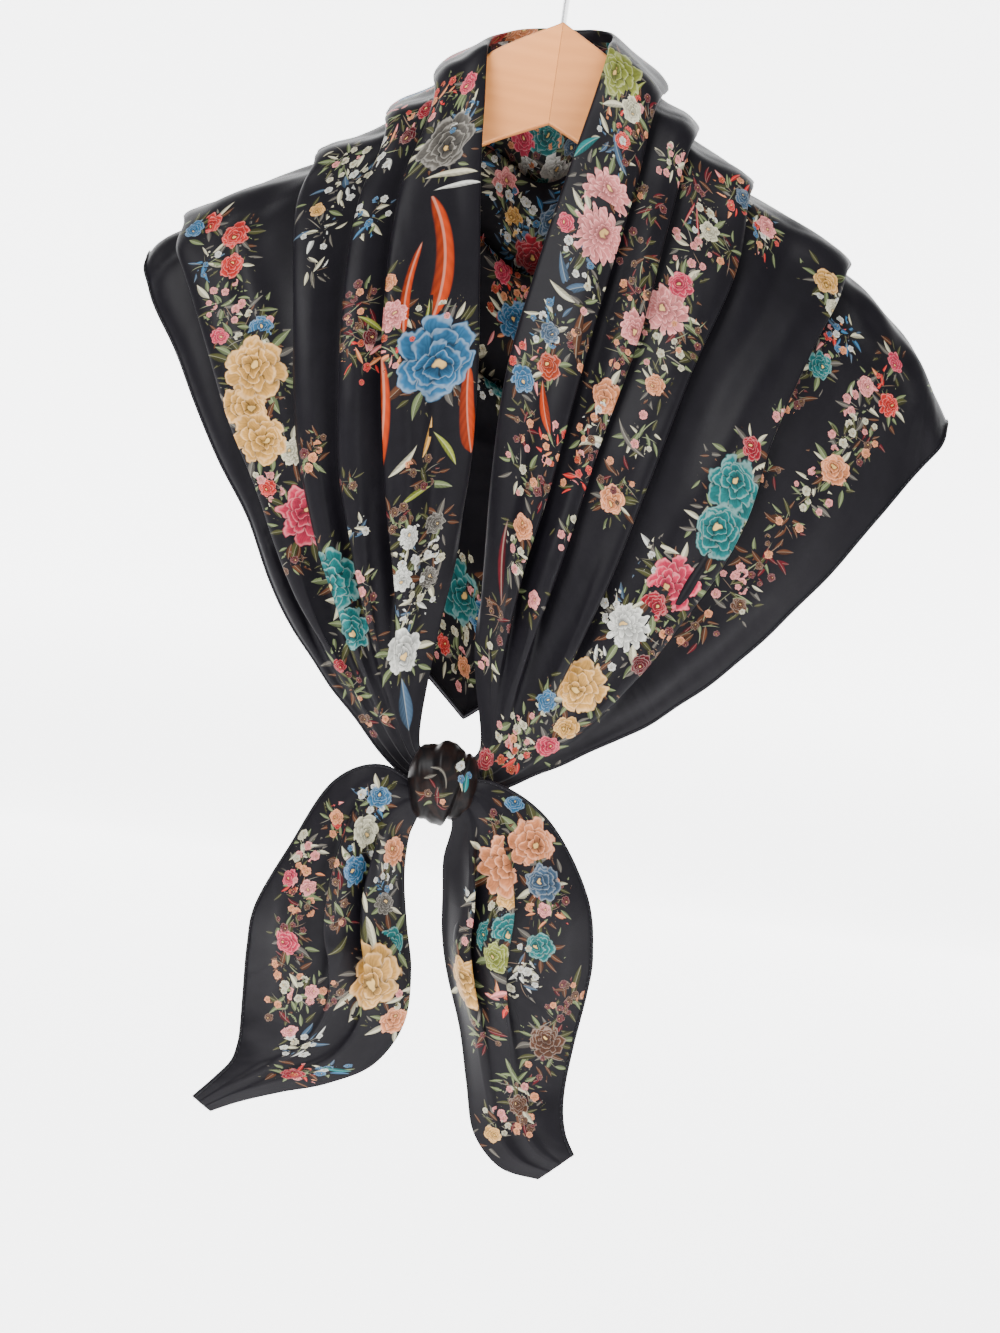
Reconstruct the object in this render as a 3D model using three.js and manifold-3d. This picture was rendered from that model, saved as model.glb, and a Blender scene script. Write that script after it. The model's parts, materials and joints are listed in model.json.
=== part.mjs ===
// A silk square scarf, folded on its diagonal, pleated round the neck of a wooden hanger
// and knotted in front, so that two tails hang from the knot and a point hangs down the back.
// Millimetres, +Z up, the front faces -Y. The origin is the inside top of the hook.
import * as THREE from "three";
import { mergeVertices } from "three/addons/utils/BufferGeometryUtils.js";
import Module from "manifold-3d";

const wasm = await Module();
wasm.setup();

// Cloth
const WALL = 1.2; // both plies of silk together, with the air between them
const SEAM_GAP = 0.35; // between neighbouring pieces
const PLEAT_R = 2.2; // radius of a pleat's turn, at the middle of the wall
const CREST_ROOM = 14; // sections with less width for each pleat are a wider one's, pressed together
const LEAST_TURN = 0.06; // radians, of the neck edge where it lies open
const GENTLE_TURN = 1.2; // radians; cloth that turns by less than this does so on a larger radius
const NECK_R = 1.7; // radius of the turned neck edge
const NECK_RETURN = 6; // how far that edge runs back behind the cloth
const OPEN_WIDTH = 70; // a section this narrow has no turned neck edge
const TURNED_WIDTH = 150; // and one this wide has it turned right back
const SHOULDER_START = [6, 8.4]; // the stations where the cloth turns up over the shoulder
const SHOULDER_END = [11.6, 13.6]; // and those where it turns down the back
const SHOULDER_SEAM = 11.6; // the station behind the shoulder where front and back pieces meet
const SEAM_SHARE = 0.022; // half of the seam's gap, as a share of one station
const STEP = 0.05; // the stations' distance over which the cloth's direction is taken

// Hanger
const WOOD_THICK = 12;
const WOOD_BEVEL = 1.6;
const WIRE_R = 1.75;
const HOOK_R = 20.75; // radius of the hook's bend, at the middle of the wire
const SHANK_TOP = -46; // where the straight shank ends and the bend begins
const SHANK_END = -98; // the shank's end inside the wood
const HOOK_KICK = [5, 0, -40]; // a point on the way from the shank into the bend
const HOOK_BEND = [-35, 210]; // the bend's first and last angle, in degrees
const HOOK_POINTS = 15;
const HOOK_STEPS = 40;
const SOCKET_LENGTH = 60; // of the cutter for the shank's hole, which reaches out above the wood
const SOCKET_SIDES = 16;
const MITRE_GAP = 0.35; // between the two arms at the middle

// Knot: a band wrapped round the crossing ends, its axis along X
const KNOT = { x: -4.5, y: -84, z: -501.5, half: 19.5, deep: 17, tall: 22.5 };
const KNOT_CREASES = 3.5; // waves across the band
const KNOT_CREASE = 0.055; // their height, as a share of the radius
const KNOT_LEAN = 0.12; // how far they swing along the band, as a share of its half length
const KNOT_TAPER = 0.86; // how much of its girth the band loses at its ends
const KNOT_FULLNESS = 3.2; // how late it loses it
const KNOT_LENGTHS = 14;
const KNOT_SIDES = 24;

const SILK = new THREE.MeshStandardMaterial({ color: 0x26242b, roughness: 0.42, metalness: 0 });
const WOOD = new THREE.MeshStandardMaterial({ color: 0xd9a878, roughness: 0.55, metalness: 0 });
const STEEL = new THREE.MeshStandardMaterial({ color: 0xb9bcc0, roughness: 0.25, metalness: 1 });

// Sections of the draped cloth, from inside the knot over the shoulder to the middle of the
// back. in: the folded neck edge. out: the hem. bow and sway: how far the section swells and
// snakes off the straight line from in to out. a to d: where the four pleats' crests lie, as
// shares of the section. turn: the angle in degrees by which the cloth doubles back at a
// crest. tuck: how far it runs on from there before it turns forward again.
const ENDS = ["inX", "inY", "inZ", "outX", "outY", "outZ"];
const PLEATS = ["a", "b", "c", "d"];
const SECTION_COLUMNS = [...ENDS, "bow", "sway", ...PLEATS, "turn", "tuck"];
const LEFT_SECTIONS = table(SECTION_COLUMNS, [
  [-9, -87, -488, -14, -77, -507, 0, 0, 0.22, 0.42, 0.62, 0.82, 4, 0.2],
  [-21, -83, -481, -34, -72, -496, 1, 0, 0.22, 0.42, 0.62, 0.84, 6, 0.3],
  [-21, -77, -435, -71, -71, -460, 6, 0, 0.3, 0.5, 0.68, 0.87, 45, 2],
  [-17, -73, -381, -104, -69, -422, 10, 0, 0.34, 0.54, 0.71, 0.9, 125, 4],
  [-15, -69, -328, -133, -64, -373, 13, 0, 0.37, 0.56, 0.71, 0.92, 180, 7],
  [-18, -63, -275, -161, -57, -331, 14, 0, 0.35, 0.5, 0.66, 0.91, 180, 8],
  [-25, -53, -221, -184, -45, -293, 12, -2, 0.3, 0.44, 0.6, 0.9, 180, 8],
  [-33, -37, -163, -205, -27, -261, 6, -4, 0.24, 0.37, 0.55, 0.89, 180, 8],
  [-37, -22, -121, -212, -19, -248, -3, -5, 0.19, 0.33, 0.53, 0.89, 180, 7],
  [-40, -13, -96, -213.5, -11, -239, -10, -5, 0.17, 0.32, 0.52, 0.88, 180, 6],
  [-41.5, -4, -91.5, -214, -3, -236, -11, -5, 0.17, 0.32, 0.52, 0.88, 180, 6],
  [-41.5, 6, -89.5, -214, 6, -236, -10.5, -5, 0.17, 0.32, 0.52, 0.88, 180, 6],
  [-40, 18, -84.5, -213, 18, -241, -7, -5, 0.17, 0.32, 0.51, 0.86, 180, 7],
  [-35, 31, -80, -203, 36, -262, 0, -3, 0.165, 0.31, 0.49, 0.81, 180, 8],
  [-27, 41, -76, -156, 49, -322, 8, 0, 0.155, 0.29, 0.44, 0.68, 180, 8],
  [-12, 46, -73, -80, 55, -405, 10, 0, 0.148, 0.26, 0.4, 0.59, 180, 8],
  [0, 48, -72, 0, 56, -478, 12, 0, 0.14, 0.245, 0.38, 0.55, 180, 8],
]);
const RIGHT_SECTIONS = table(SECTION_COLUMNS, [
  [0, -87, -488, 7, -77, -507, 0, 0, 0.22, 0.42, 0.62, 0.82, 4, 0.2],
  [13, -83, -479, 29, -72, -500, 1, 0, 0.2, 0.38, 0.6, 0.84, 6, 0.3],
  [4, -77, -433, 73, -71, -474, 6, 0, 0.18, 0.34, 0.55, 0.84, 45, 2],
  [0, -73, -380, 115, -69, -444, 11, 0, 0.18, 0.31, 0.51, 0.79, 125, 4],
  [-3, -69, -326, 155, -64, -403, 15, 0, 0.2, 0.31, 0.48, 0.77, 180, 7],
  [-3, -63, -272, 187, -57, -362, 16, 0, 0.2, 0.3, 0.46, 0.74, 180, 8],
  [4, -53, -219, 212, -45, -325, 14, -2, 0.18, 0.29, 0.44, 0.68, 180, 8],
  [14, -37, -161, 235, -27, -292, 12, -5, 0.16, 0.26, 0.43, 0.65, 180, 8],
  [22, -22, -118, 245, -19, -278, 8, -8, 0.15, 0.25, 0.41, 0.64, 180, 7],
  [27, -13, -89, 247.5, -11, -268, 5, -9, 0.15, 0.25, 0.4, 0.64, 180, 7],
  [28.5, -4, -82, 248, -3, -265.5, 5, -9, 0.15, 0.25, 0.4, 0.64, 180, 7],
  [30, 6, -78.5, 248, 6, -265.5, 5, -9, 0.15, 0.25, 0.4, 0.64, 180, 7],
  [30, 18, -74, 245, 18, -270, 5, -8, 0.15, 0.25, 0.4, 0.65, 180, 7],
  [27, 31, -70.5, 227, 36, -290, 6, -5, 0.15, 0.25, 0.4, 0.65, 180, 8],
  [19, 41, -69.5, 167, 49, -339, 9, 0, 0.153, 0.265, 0.415, 0.63, 180, 8],
  [9, 46, -71, 83, 55, -408, 11, 0, 0.148, 0.255, 0.39, 0.57, 180, 8],
  [0, 48, -72, 0, 56, -478, 12, 0, 0.14, 0.245, 0.38, 0.55, 180, 8],
]);
joinAtBack(LEFT_SECTIONS, RIGHT_SECTIONS);

// Sections of the two hanging tails, from inside the knot to the tip, across from one edge
// to the other, with two pleats that open out on the way down.
const TAIL_PLEATS = ["a", "b"];
const TAIL_COLUMNS = [...ENDS, "bow", "sway", ...TAIL_PLEATS, "turn", "tuck"];
const LEFT_TAIL = table(TAIL_COLUMNS, [
  [-9, -91, -504, -8, -85, -514, 0, 0, 0.36, 0.68, 4, 0.2],
  [-17, -88, -523, -37, -92, -496, 3, 0, 0.36, 0.68, 12, 0.4],
  [-20, -82, -535, -64, -89, -509, 9, 0, 0.34, 0.66, 65, 2.5],
  [-19.5, -79, -556, -83, -83, -550, 13, 0, 0.32, 0.62, 140, 4],
  [-14.5, -75, -584, -97, -78, -583, 14, -2, 0.29, 0.55, 180, 6],
  [-9, -73, -609, -98.5, -75, -607, 13, -3, 0.27, 0.5, 130, 4],
  [-9, -71, -639, -97, -74, -636, 10, -3, 0.27, 0.5, 60, 2],
  [-22, -71, -664, -96, -75, -651, 7, -2, 0.3, 0.55, 40, 1.5],
  [-45.5, -72, -678, -96, -76, -661.5, 4, 0, 0.34, 0.6, 28, 1],
  [-69, -74, -686, -98, -78, -672, 3, 0, 0.36, 0.66, 22, 0.6],
  [-91, -76, -694.5, -105.5, -80, -682, 2, 0, 0.36, 0.68, 8, 0.3],
  [-106.5, -78, -702, -116.5, -81, -694.5, 0.5, 0, 0.36, 0.68, 4, 0.2],
]);
const RIGHT_TAIL = table(TAIL_COLUMNS, [
  [-3, -91, -508, 1, -85, -499, 0, 0, 0.36, 0.68, 4, 0.2],
  [4, -88, -522, 25, -92, -497, 3, 0, 0.36, 0.68, 12, 0.4],
  [2.5, -82, -542, 55, -89, -513, 9, 0, 0.3, 0.62, 65, 2.5],
  [5, -79, -563, 82, -83, -552, 13, 0, 0.24, 0.52, 140, 4],
  [8, -76, -586, 90, -79, -584, 14, 2, 0.2, 0.46, 180, 6],
  [14, -74, -608, 90, -77, -607, 12, 3, 0.2, 0.46, 130, 4],
  [25, -72, -637, 87, -76, -636, 9, 3, 0.22, 0.5, 60, 2],
  [33, -71, -666.5, 85.5, -75, -660, 7, 2, 0.26, 0.56, 40, 1.5],
  [41, -72, -693.5, 86.5, -77, -675, 4, 0, 0.3, 0.6, 28, 1],
  [58, -75, -710, 90, -79, -687, 3, 0, 0.32, 0.64, 22, 0.6],
  [79.5, -77, -713.5, 96, -81, -696.5, 1, 0, 0.34, 0.66, 6, 0.3],
]);

// Outline of one arm of the hanger, out from the middle: the top edge and the lower edge.
const ARM_TOP = [
  [0, -75], [28, -90.5], [42, -101.5], [60, -127], [80, -148],
  [101, -166], [131, -185], [165, -204.5], [184, -218],
];
const ARM_FOOT = [
  [186, -228], [165, -222.5], [131, -207], [101, -191.5], [60, -166.5], [35, -149], [0, -132],
];
const CURVE_PARTS = 14; // straight parts along each of these edges

// Stations at which the cloth is built: closer where it leaves the knot and over the shoulder.
const FRONT_STATIONS = [
  0, 0.5, 1, 1.4, 1.7, 2, 2.35, 2.7, 3, 3.5, 4, 5, 6, 7, 7.5, 8, 8.5, 9, 9.5, 10, 11,
  SHOULDER_SEAM - SEAM_SHARE,
];
const BACK_STATIONS = [SHOULDER_SEAM + SEAM_SHARE, 12, 12.5, 13, 13.5, 14, 14.5, 15, 15.5, 16];
const TAIL_EXTRA_STATIONS = [0.5, 1.5];

function table(columns, rows) {
  return rows.map((row) => Object.fromEntries(row.map((value, i) => [columns[i], value])));
}

// Past the middle of the back, the cloth runs on into the other half: its neck edge and its
// pleats run level there, and its hem turns a corner.
function joinAtBack(left, right) {
  const hem = ENDS.slice(3);
  const beyond = (rows, others) => {
    const [before, middle] = rows.slice(-2);
    const next = { ...others[others.length - 2] };
    for (const key of hem) next[key] = 2 * middle[key] - before[key];
    const slope = (middle.outZ - before.outZ) / (middle.outZ - middle.inZ);
    for (const key of PLEATS) next[key] = before[key] - 2 * slope * middle[key];
    return next;
  };
  const [leftNext, rightNext] = [beyond(left, right), beyond(right, left)];
  left.push(leftNext);
  right.push(rightNext);
}

// A table read between its rows, on a smooth curve through them.
function between(rows, s) {
  const i = Math.min(Math.floor(s), rows.length - 2);
  const t = s - i;
  const near = [i - 1, i, i + 1, i + 2].map((k) => rows[THREE.MathUtils.clamp(k, 0, rows.length - 1)]);
  const read = {};
  for (const key of Object.keys(rows[0])) {
    const [p, q, r, w] = near.map((row) => row[key]);
    const bend = 2 * p - 5 * q + 4 * r - w;
    const twist = 3 * (q - r) + w - p;
    read[key] = q + 0.5 * t * (r - p + t * (bend + t * twist));
  }
  return read;
}

const inPoint = (row) => new THREE.Vector3(row.inX, row.inY, row.inZ);
const outPoint = (row) => new THREE.Vector3(row.outX, row.outY, row.outZ);

// Points round a turn of the cloth: at its start, at its middle and at its end. The middle
// one stands further out, because the spline through the points pulls it in.
function turnPoints(centre, radius, from, to) {
  const reach = radius * (1 + Math.abs(to - from) / (4 * Math.PI));
  return [[from, radius], [(from + to) / 2, reach], [to, radius]].map(([angle, r]) => [
    centre[0] + r * Math.sin(angle),
    centre[1] + r * Math.cos(angle),
  ]);
}

// The control points of one pleated section, as [across, out of the cloth] in millimetres.
function pleatedProfile(pressedWidth, crests, turn, tuck) {
  const width = Math.max(pressedWidth, CREST_ROOM * (crests.length + 1));
  const turned = THREE.MathUtils.smoothstep(width, OPEN_WIDTH, TURNED_WIDTH);
  const open = THREE.MathUtils.lerp(LEAST_TURN, Math.PI, turned);
  const neck = NECK_R * Math.max(1, GENTLE_TURN / open);
  const start = Math.min(NECK_R, 0.1 * width);
  const [fold, middle, end] = turnPoints([start, -neck], neck, 0, -open);
  const edge = NECK_RETURN * (open / Math.PI) + 0.5 * start;
  const back = (run) => [end[0] - run * edge * Math.cos(open), end[1] - run * edge * Math.sin(open)];
  const points = [back(1), back(0.5), end, middle, fold];

  const angle = THREE.MathUtils.degToRad(turn);
  const radius = PLEAT_R * Math.max(1, GENTLE_TURN / angle);
  const lift = 2 * radius * (1 - Math.cos(angle)) + tuck * Math.sin(angle);
  const easing = PLEAT_R * (0.3 + 0.7 * (angle / Math.PI));
  const overlap = tuck * Math.max(0, -Math.cos(angle)) + 2 * easing;
  const rise = (from, crest) => {
    const to = crest - 1.5 * easing;
    const over = Math.max(crest - overlap, 0.4 * from + 0.6 * to);
    points.push([(from + over) / 2, 0.45 * lift], [over, 0.9 * lift], [(over + to) / 2, lift]);
  };
  let free = start;
  for (const share of crests) {
    const crest = share * width - radius * Math.sin(Math.min(angle, Math.PI / 2));
    rise(free, crest);
    const over = turnPoints([crest, lift - radius], radius, 0, angle);
    const foot = [over[2][0] + tuck * Math.cos(angle), over[2][1] - tuck * Math.sin(angle)];
    const hub = [foot[0] + radius * Math.sin(angle), foot[1] + radius * Math.cos(angle)];
    free = Math.max(share * width, hub[0]) + easing;
    points.push(...over, ...turnPoints(hub, radius, Math.PI + angle, Math.PI), [free, 0.03 * lift]);
  }
  points.push([(2 * free + width) / 3, 0.25 * lift], [(free + 3 * width) / 4, 0.3 * lift], [width, 0]);
  return points.map(([x, n]) => [(x * pressedWidth) / width, n]);
}

// A uniform cubic B-spline through control points, clamped at both ends.
function spline(points, q) {
  const i = Math.min(Math.floor(q), points.length - 2);
  const t = q - i;
  const last = points.length - 1;
  const at = (k, axis) => {
    if (k < 0) return 2 * points[0][axis] - points[1][axis];
    if (k > last) return 2 * points[last][axis] - points[last - 1][axis];
    return points[k][axis];
  };
  const weights = [(1 - t) ** 3, 3 * t ** 3 - 6 * t * t + 4, -3 * t ** 3 + 3 * t * t + 3 * t + 1, t ** 3];
  return [0, 1].map((axis) => weights.reduce((sum, weight, k) => sum + weight * at(i + k - 1, axis), 0) / 6);
}

// A section: its start, its direction, its width, and how both its ends move along the table.
function sectionFrame(rows, s) {
  const row = between(rows, s);
  const start = inPoint(row);
  const across = outPoint(row).sub(start);
  const width = across.length();
  const before = between(rows, Math.max(s - STEP, 0));
  const after = between(rows, Math.min(s + STEP, rows.length - 1));
  const inAlong = inPoint(after).sub(inPoint(before));
  const outAlong = outPoint(after).sub(outPoint(before));
  return { row, start, across: across.divideScalar(width), width, inAlong, outAlong };
}

// A point of the cloth's middle surface: s along the table, q across the control points.
function clothPoint({ row, start, across, width, inAlong, outAlong }, profile, outward, s, q) {
  const [x, n] = spline(profile, q);
  const share = THREE.MathUtils.clamp(x / width, 0, 1);
  const along = inAlong.clone().lerp(outAlong, share);
  const out = across.clone().cross(along).multiplyScalar(outward).normalize();
  const swellWay = out.clone();
  const rising = THREE.MathUtils.smoothstep(s, ...SHOULDER_START);
  const falling = 1 - THREE.MathUtils.smoothstep(s, ...SHOULDER_END);
  swellWay.y *= 1 - rising * falling;
  swellWay.normalize();
  const swell = row.bow * Math.sin(Math.PI * share) + row.sway * Math.sin(2 * Math.PI * share);
  return start.clone().addScaledVector(across, x).addScaledVector(out, n).addScaledVector(swellWay, swell);
}

// The middle line of the cloth at one station, a point for each control point.
function clothLine(rows, folds, outward, s) {
  const frame = sectionFrame(rows, s);
  const crests = folds.map((name) => frame.row[name]);
  const profile = pleatedProfile(frame.width, crests, frame.row.turn, frame.row.tuck);
  return profile.map((_, q) => clothPoint(frame, profile, outward, s, q));
}

// Lines of the cloth at some stations of a table, each point with its way out of the cloth.
function stretch(rows, folds, outward, stations) {
  return stations.map((s) => {
    const ends = [s, Math.max(s - STEP, 0), Math.min(s + STEP, rows.length - 1)];
    const [line, before, after] = ends.map((at) => clothLine(rows, folds, outward, at));
    return line.map((point, j) => {
      const over = line[Math.min(j + 1, line.length - 1)].clone().sub(line[Math.max(j - 1, 0)]);
      const out = over.cross(after[j].sub(before[j])).multiplyScalar(outward).normalize();
      return { point, out };
    });
  });
}

// A closed wall round lines of cloth, with half its thickness on each side.
function wallGeometry(lines, outward) {
  const rows = lines.length;
  const cols = lines[0].length;
  const moved = ({ point, out }, shift) => point.clone().addScaledVector(out, shift).toArray();
  const places = lines.flat();
  const positions = [WALL / 2, -WALL / 2].flatMap((shift) => places.flatMap((place) => moved(place, shift)));
  const at = (side, i, j) => (side * rows + i) * cols + j;
  const faces = [];
  const quad = (a, b, c, d) => {
    if (outward > 0) faces.push(a, b, c, a, c, d);
    else faces.push(b, a, c, c, a, d);
  };
  for (let i = 0; i + 1 < rows; i++)
    for (let j = 0; j + 1 < cols; j++) {
      quad(at(0, i, j), at(0, i, j + 1), at(0, i + 1, j + 1), at(0, i + 1, j));
      quad(at(1, i, j), at(1, i + 1, j), at(1, i + 1, j + 1), at(1, i, j + 1));
    }
  for (let i = 0; i + 1 < rows; i++) {
    quad(at(0, i, 0), at(0, i + 1, 0), at(1, i + 1, 0), at(1, i, 0));
    quad(at(0, i, cols - 1), at(1, i, cols - 1), at(1, i + 1, cols - 1), at(0, i + 1, cols - 1));
  }
  for (let j = 0; j + 1 < cols; j++) {
    quad(at(0, 0, j), at(1, 0, j), at(1, 0, j + 1), at(0, 0, j + 1));
    quad(at(0, rows - 1, j), at(0, rows - 1, j + 1), at(1, rows - 1, j + 1), at(1, rows - 1, j));
  }
  return indexed(positions, faces);
}

function indexed(positions, faces) {
  const geometry = new THREE.BufferGeometry();
  geometry.setAttribute("position", new THREE.Float32BufferAttribute(positions, 3));
  geometry.setIndex(faces);
  return geometry;
}

const tailStations = (rows) => [...rows.keys(), ...TAIL_EXTRA_STATIONS].sort((p, q) => p - q);

// The band of the knot, grown by a clearance where it cuts its room in the cloth.
function knotGeometry(grow) {
  const positions = [];
  const faces = [];
  for (let i = 0; i <= KNOT_LENGTHS; i++) {
    const u = -1 + (2 * i) / KNOT_LENGTHS;
    const girth = (1 - KNOT_TAPER * Math.abs(u) ** KNOT_FULLNESS) ** 0.6;
    for (let j = 0; j < KNOT_SIDES; j++) {
      const angle = (2 * Math.PI * j) / KNOT_SIDES;
      const wave = Math.PI * KNOT_CREASES * (u + KNOT_LEAN * Math.sin(2 * angle));
      const size = girth * (1 + KNOT_CREASE * Math.cos(wave));
      positions.push(
        KNOT.x + u * (KNOT.half + grow),
        KNOT.y - (KNOT.deep * size + grow) * Math.cos(angle),
        KNOT.z + (KNOT.tall * size + grow) * Math.sin(angle),
      );
    }
  }
  const at = (i, j) => i * KNOT_SIDES + (j % KNOT_SIDES);
  for (let i = 0; i < KNOT_LENGTHS; i++)
    for (let j = 0; j < KNOT_SIDES; j++) {
      faces.push(at(i, j), at(i + 1, j), at(i + 1, j + 1));
      faces.push(at(i, j), at(i + 1, j + 1), at(i, j + 1));
    }
  for (const i of [0, KNOT_LENGTHS]) {
    const hub = positions.length / 3;
    positions.push(KNOT.x + Math.sign(i - 1) * (KNOT.half + grow), KNOT.y, KNOT.z);
    for (let j = 0; j < KNOT_SIDES; j++) {
      if (i > 0) faces.push(at(i, j + 1), at(i, j), hub);
      else faces.push(at(i, j), at(i, j + 1), hub);
    }
  }
  return indexed(positions, faces);
}

function solidOf(geometry) {
  const bare = geometry.clone();
  bare.deleteAttribute("normal");
  bare.deleteAttribute("uv");
  const merged = mergeVertices(bare, 1e-3);
  return new wasm.Manifold(
    new wasm.Mesh({
      numProp: 3,
      vertProperties: merged.attributes.position.array,
      triVerts: new Uint32Array(merged.index.array),
    }),
  );
}

// The geometry of a solid; of several pieces left by a cut, the largest is the one kept.
function geometryOf(solid) {
  const largest = solid.decompose().sort((p, q) => q.volume() - p.volume())[0];
  const mesh = largest.getMesh();
  return indexed(Array.from(mesh.vertProperties), Array.from(mesh.triVerts));
}

function cutBy(geometry, tool) {
  return geometryOf(solidOf(geometry).subtract(tool));
}

// One arm of the hanger, a bevelled board, mirrored for the left side.
function armGeometry(side) {
  const outline = new THREE.Shape();
  const shift = MITRE_GAP / 2 + WOOD_BEVEL;
  const inset = (x, z, up) => new THREE.Vector2(side * Math.max(x, shift), z + up * WOOD_BEVEL);
  const top = new THREE.SplineCurve(ARM_TOP.map(([x, z]) => inset(x, z, -1)));
  const foot = new THREE.SplineCurve(ARM_FOOT.map(([x, z]) => inset(x, z, 1)));
  const points = [...top.getPoints(CURVE_PARTS), ...foot.getPoints(CURVE_PARTS)];
  outline.setFromPoints(side > 0 ? points.reverse() : points);
  const board = new THREE.ExtrudeGeometry(outline, {
    depth: WOOD_THICK - 2 * WOOD_BEVEL,
    bevelEnabled: true,
    bevelThickness: WOOD_BEVEL,
    bevelSize: WOOD_BEVEL,
    bevelSegments: 2,
    steps: 1,
  });
  board.translate(0, 0, -(WOOD_THICK / 2 - WOOD_BEVEL));
  return board.rotateX(Math.PI / 2);
}

// The hook: a straight shank, then a bend to the right and round over the top.
function hookGeometry() {
  const foot = new THREE.Vector3(0, 0, SHANK_END);
  const top = new THREE.Vector3(0, 0, SHANK_TOP);
  const kick = new THREE.Vector3(...HOOK_KICK);
  const bend = Array.from({ length: HOOK_POINTS }, (_, i) => {
    const angle = THREE.MathUtils.degToRad(THREE.MathUtils.lerp(...HOOK_BEND, i / (HOOK_POINTS - 1)));
    return new THREE.Vector3(HOOK_R * Math.cos(angle), 0, WIRE_R - HOOK_R + HOOK_R * Math.sin(angle));
  });
  const path = new THREE.CurvePath();
  path.add(new THREE.LineCurve3(foot, top));
  path.add(new THREE.CatmullRomCurve3([top, kick, ...bend]));
  const section = new THREE.Shape().absarc(0, 0, WIRE_R, 0, 2 * Math.PI);
  return new THREE.ExtrudeGeometry(section, { steps: HOOK_STEPS, extrudePath: path, curveSegments: 4 });
}

function addPiece(group, name, geometry, material) {
  const mesh = new THREE.Mesh(geometry, material);
  mesh.name = name;
  group.add(mesh);
}

function buildScarf() {
  const group = new THREE.Group();
  const knotRoom = solidOf(knotGeometry(SEAM_GAP));
  const socketR = WIRE_R + SEAM_GAP;
  const socket = new THREE.CylinderGeometry(socketR, socketR, SOCKET_LENGTH, SOCKET_SIDES);
  socket.rotateX(Math.PI / 2);
  socket.translate(0, 0, SHANK_END - SEAM_GAP + SOCKET_LENGTH / 2);
  const socketRoom = solidOf(socket);

  const left = wallGeometry(stretch(LEFT_SECTIONS, PLEATS, -1, FRONT_STATIONS), -1);
  const right = wallGeometry(stretch(RIGHT_SECTIONS, PLEATS, 1, FRONT_STATIONS), 1);
  const backLeft = stretch(LEFT_SECTIONS, PLEATS, -1, BACK_STATIONS);
  const backRight = stretch(RIGHT_SECTIONS, PLEATS, 1, BACK_STATIONS.slice(0, -1)).reverse();
  addPiece(group, "front_left", cutBy(left, knotRoom), SILK);
  addPiece(group, "front_right", cutBy(right, knotRoom), SILK);
  addPiece(group, "back", wallGeometry([...backLeft, ...backRight], -1), SILK);

  const tailLeft = wallGeometry(stretch(LEFT_TAIL, TAIL_PLEATS, 1, tailStations(LEFT_TAIL)), 1);
  const tailRight = wallGeometry(stretch(RIGHT_TAIL, TAIL_PLEATS, -1, tailStations(RIGHT_TAIL)), -1);
  addPiece(group, "tail_left", cutBy(tailLeft, knotRoom), SILK);
  addPiece(group, "tail_right", cutBy(tailRight, knotRoom), SILK);
  addPiece(group, "knot", knotGeometry(0), SILK);

  addPiece(group, "hanger_arm_left", cutBy(armGeometry(-1), socketRoom), WOOD);
  addPiece(group, "hanger_arm_right", cutBy(armGeometry(1), socketRoom), WOOD);
  addPiece(group, "hanger_hook", hookGeometry(), STEEL);
  return group;
}

export default buildScarf();
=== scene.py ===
"""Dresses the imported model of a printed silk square, pleated round a wooden hanger and knotted."""
import json
import math
import random

import bmesh
import bpy
import numpy as np
from mathutils import Matrix, Vector

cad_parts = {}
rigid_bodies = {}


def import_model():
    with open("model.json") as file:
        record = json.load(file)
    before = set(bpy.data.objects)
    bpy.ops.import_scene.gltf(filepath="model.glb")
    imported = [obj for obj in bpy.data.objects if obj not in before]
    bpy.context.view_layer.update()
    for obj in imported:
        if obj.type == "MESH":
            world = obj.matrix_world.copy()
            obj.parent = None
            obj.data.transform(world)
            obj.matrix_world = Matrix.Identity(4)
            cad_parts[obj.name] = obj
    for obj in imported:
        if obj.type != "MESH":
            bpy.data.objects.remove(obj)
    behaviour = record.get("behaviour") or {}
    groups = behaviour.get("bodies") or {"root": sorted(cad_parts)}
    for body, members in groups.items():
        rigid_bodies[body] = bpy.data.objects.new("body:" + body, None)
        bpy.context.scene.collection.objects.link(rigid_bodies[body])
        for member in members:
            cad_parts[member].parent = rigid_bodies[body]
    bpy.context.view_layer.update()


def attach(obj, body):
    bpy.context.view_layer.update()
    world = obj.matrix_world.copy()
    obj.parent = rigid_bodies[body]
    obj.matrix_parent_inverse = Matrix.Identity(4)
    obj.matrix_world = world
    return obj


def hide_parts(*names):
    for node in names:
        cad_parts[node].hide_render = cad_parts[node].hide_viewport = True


bl_info = {
    "name": "Silk Square Dresser",
    "version": (1, 0, 0),
    "blender": (4, 5, 0),
    "location": "View3D > Sidebar > Silk Square",
    "description": "Drapes, prints and knots a silk square on a wooden hanger",
    "category": "Object",
}

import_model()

# Tables and settings of the cloth are in millimetres, Blender's lengths in metres.
MM = 0.001
FULL_TURN = 2 * math.pi

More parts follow.
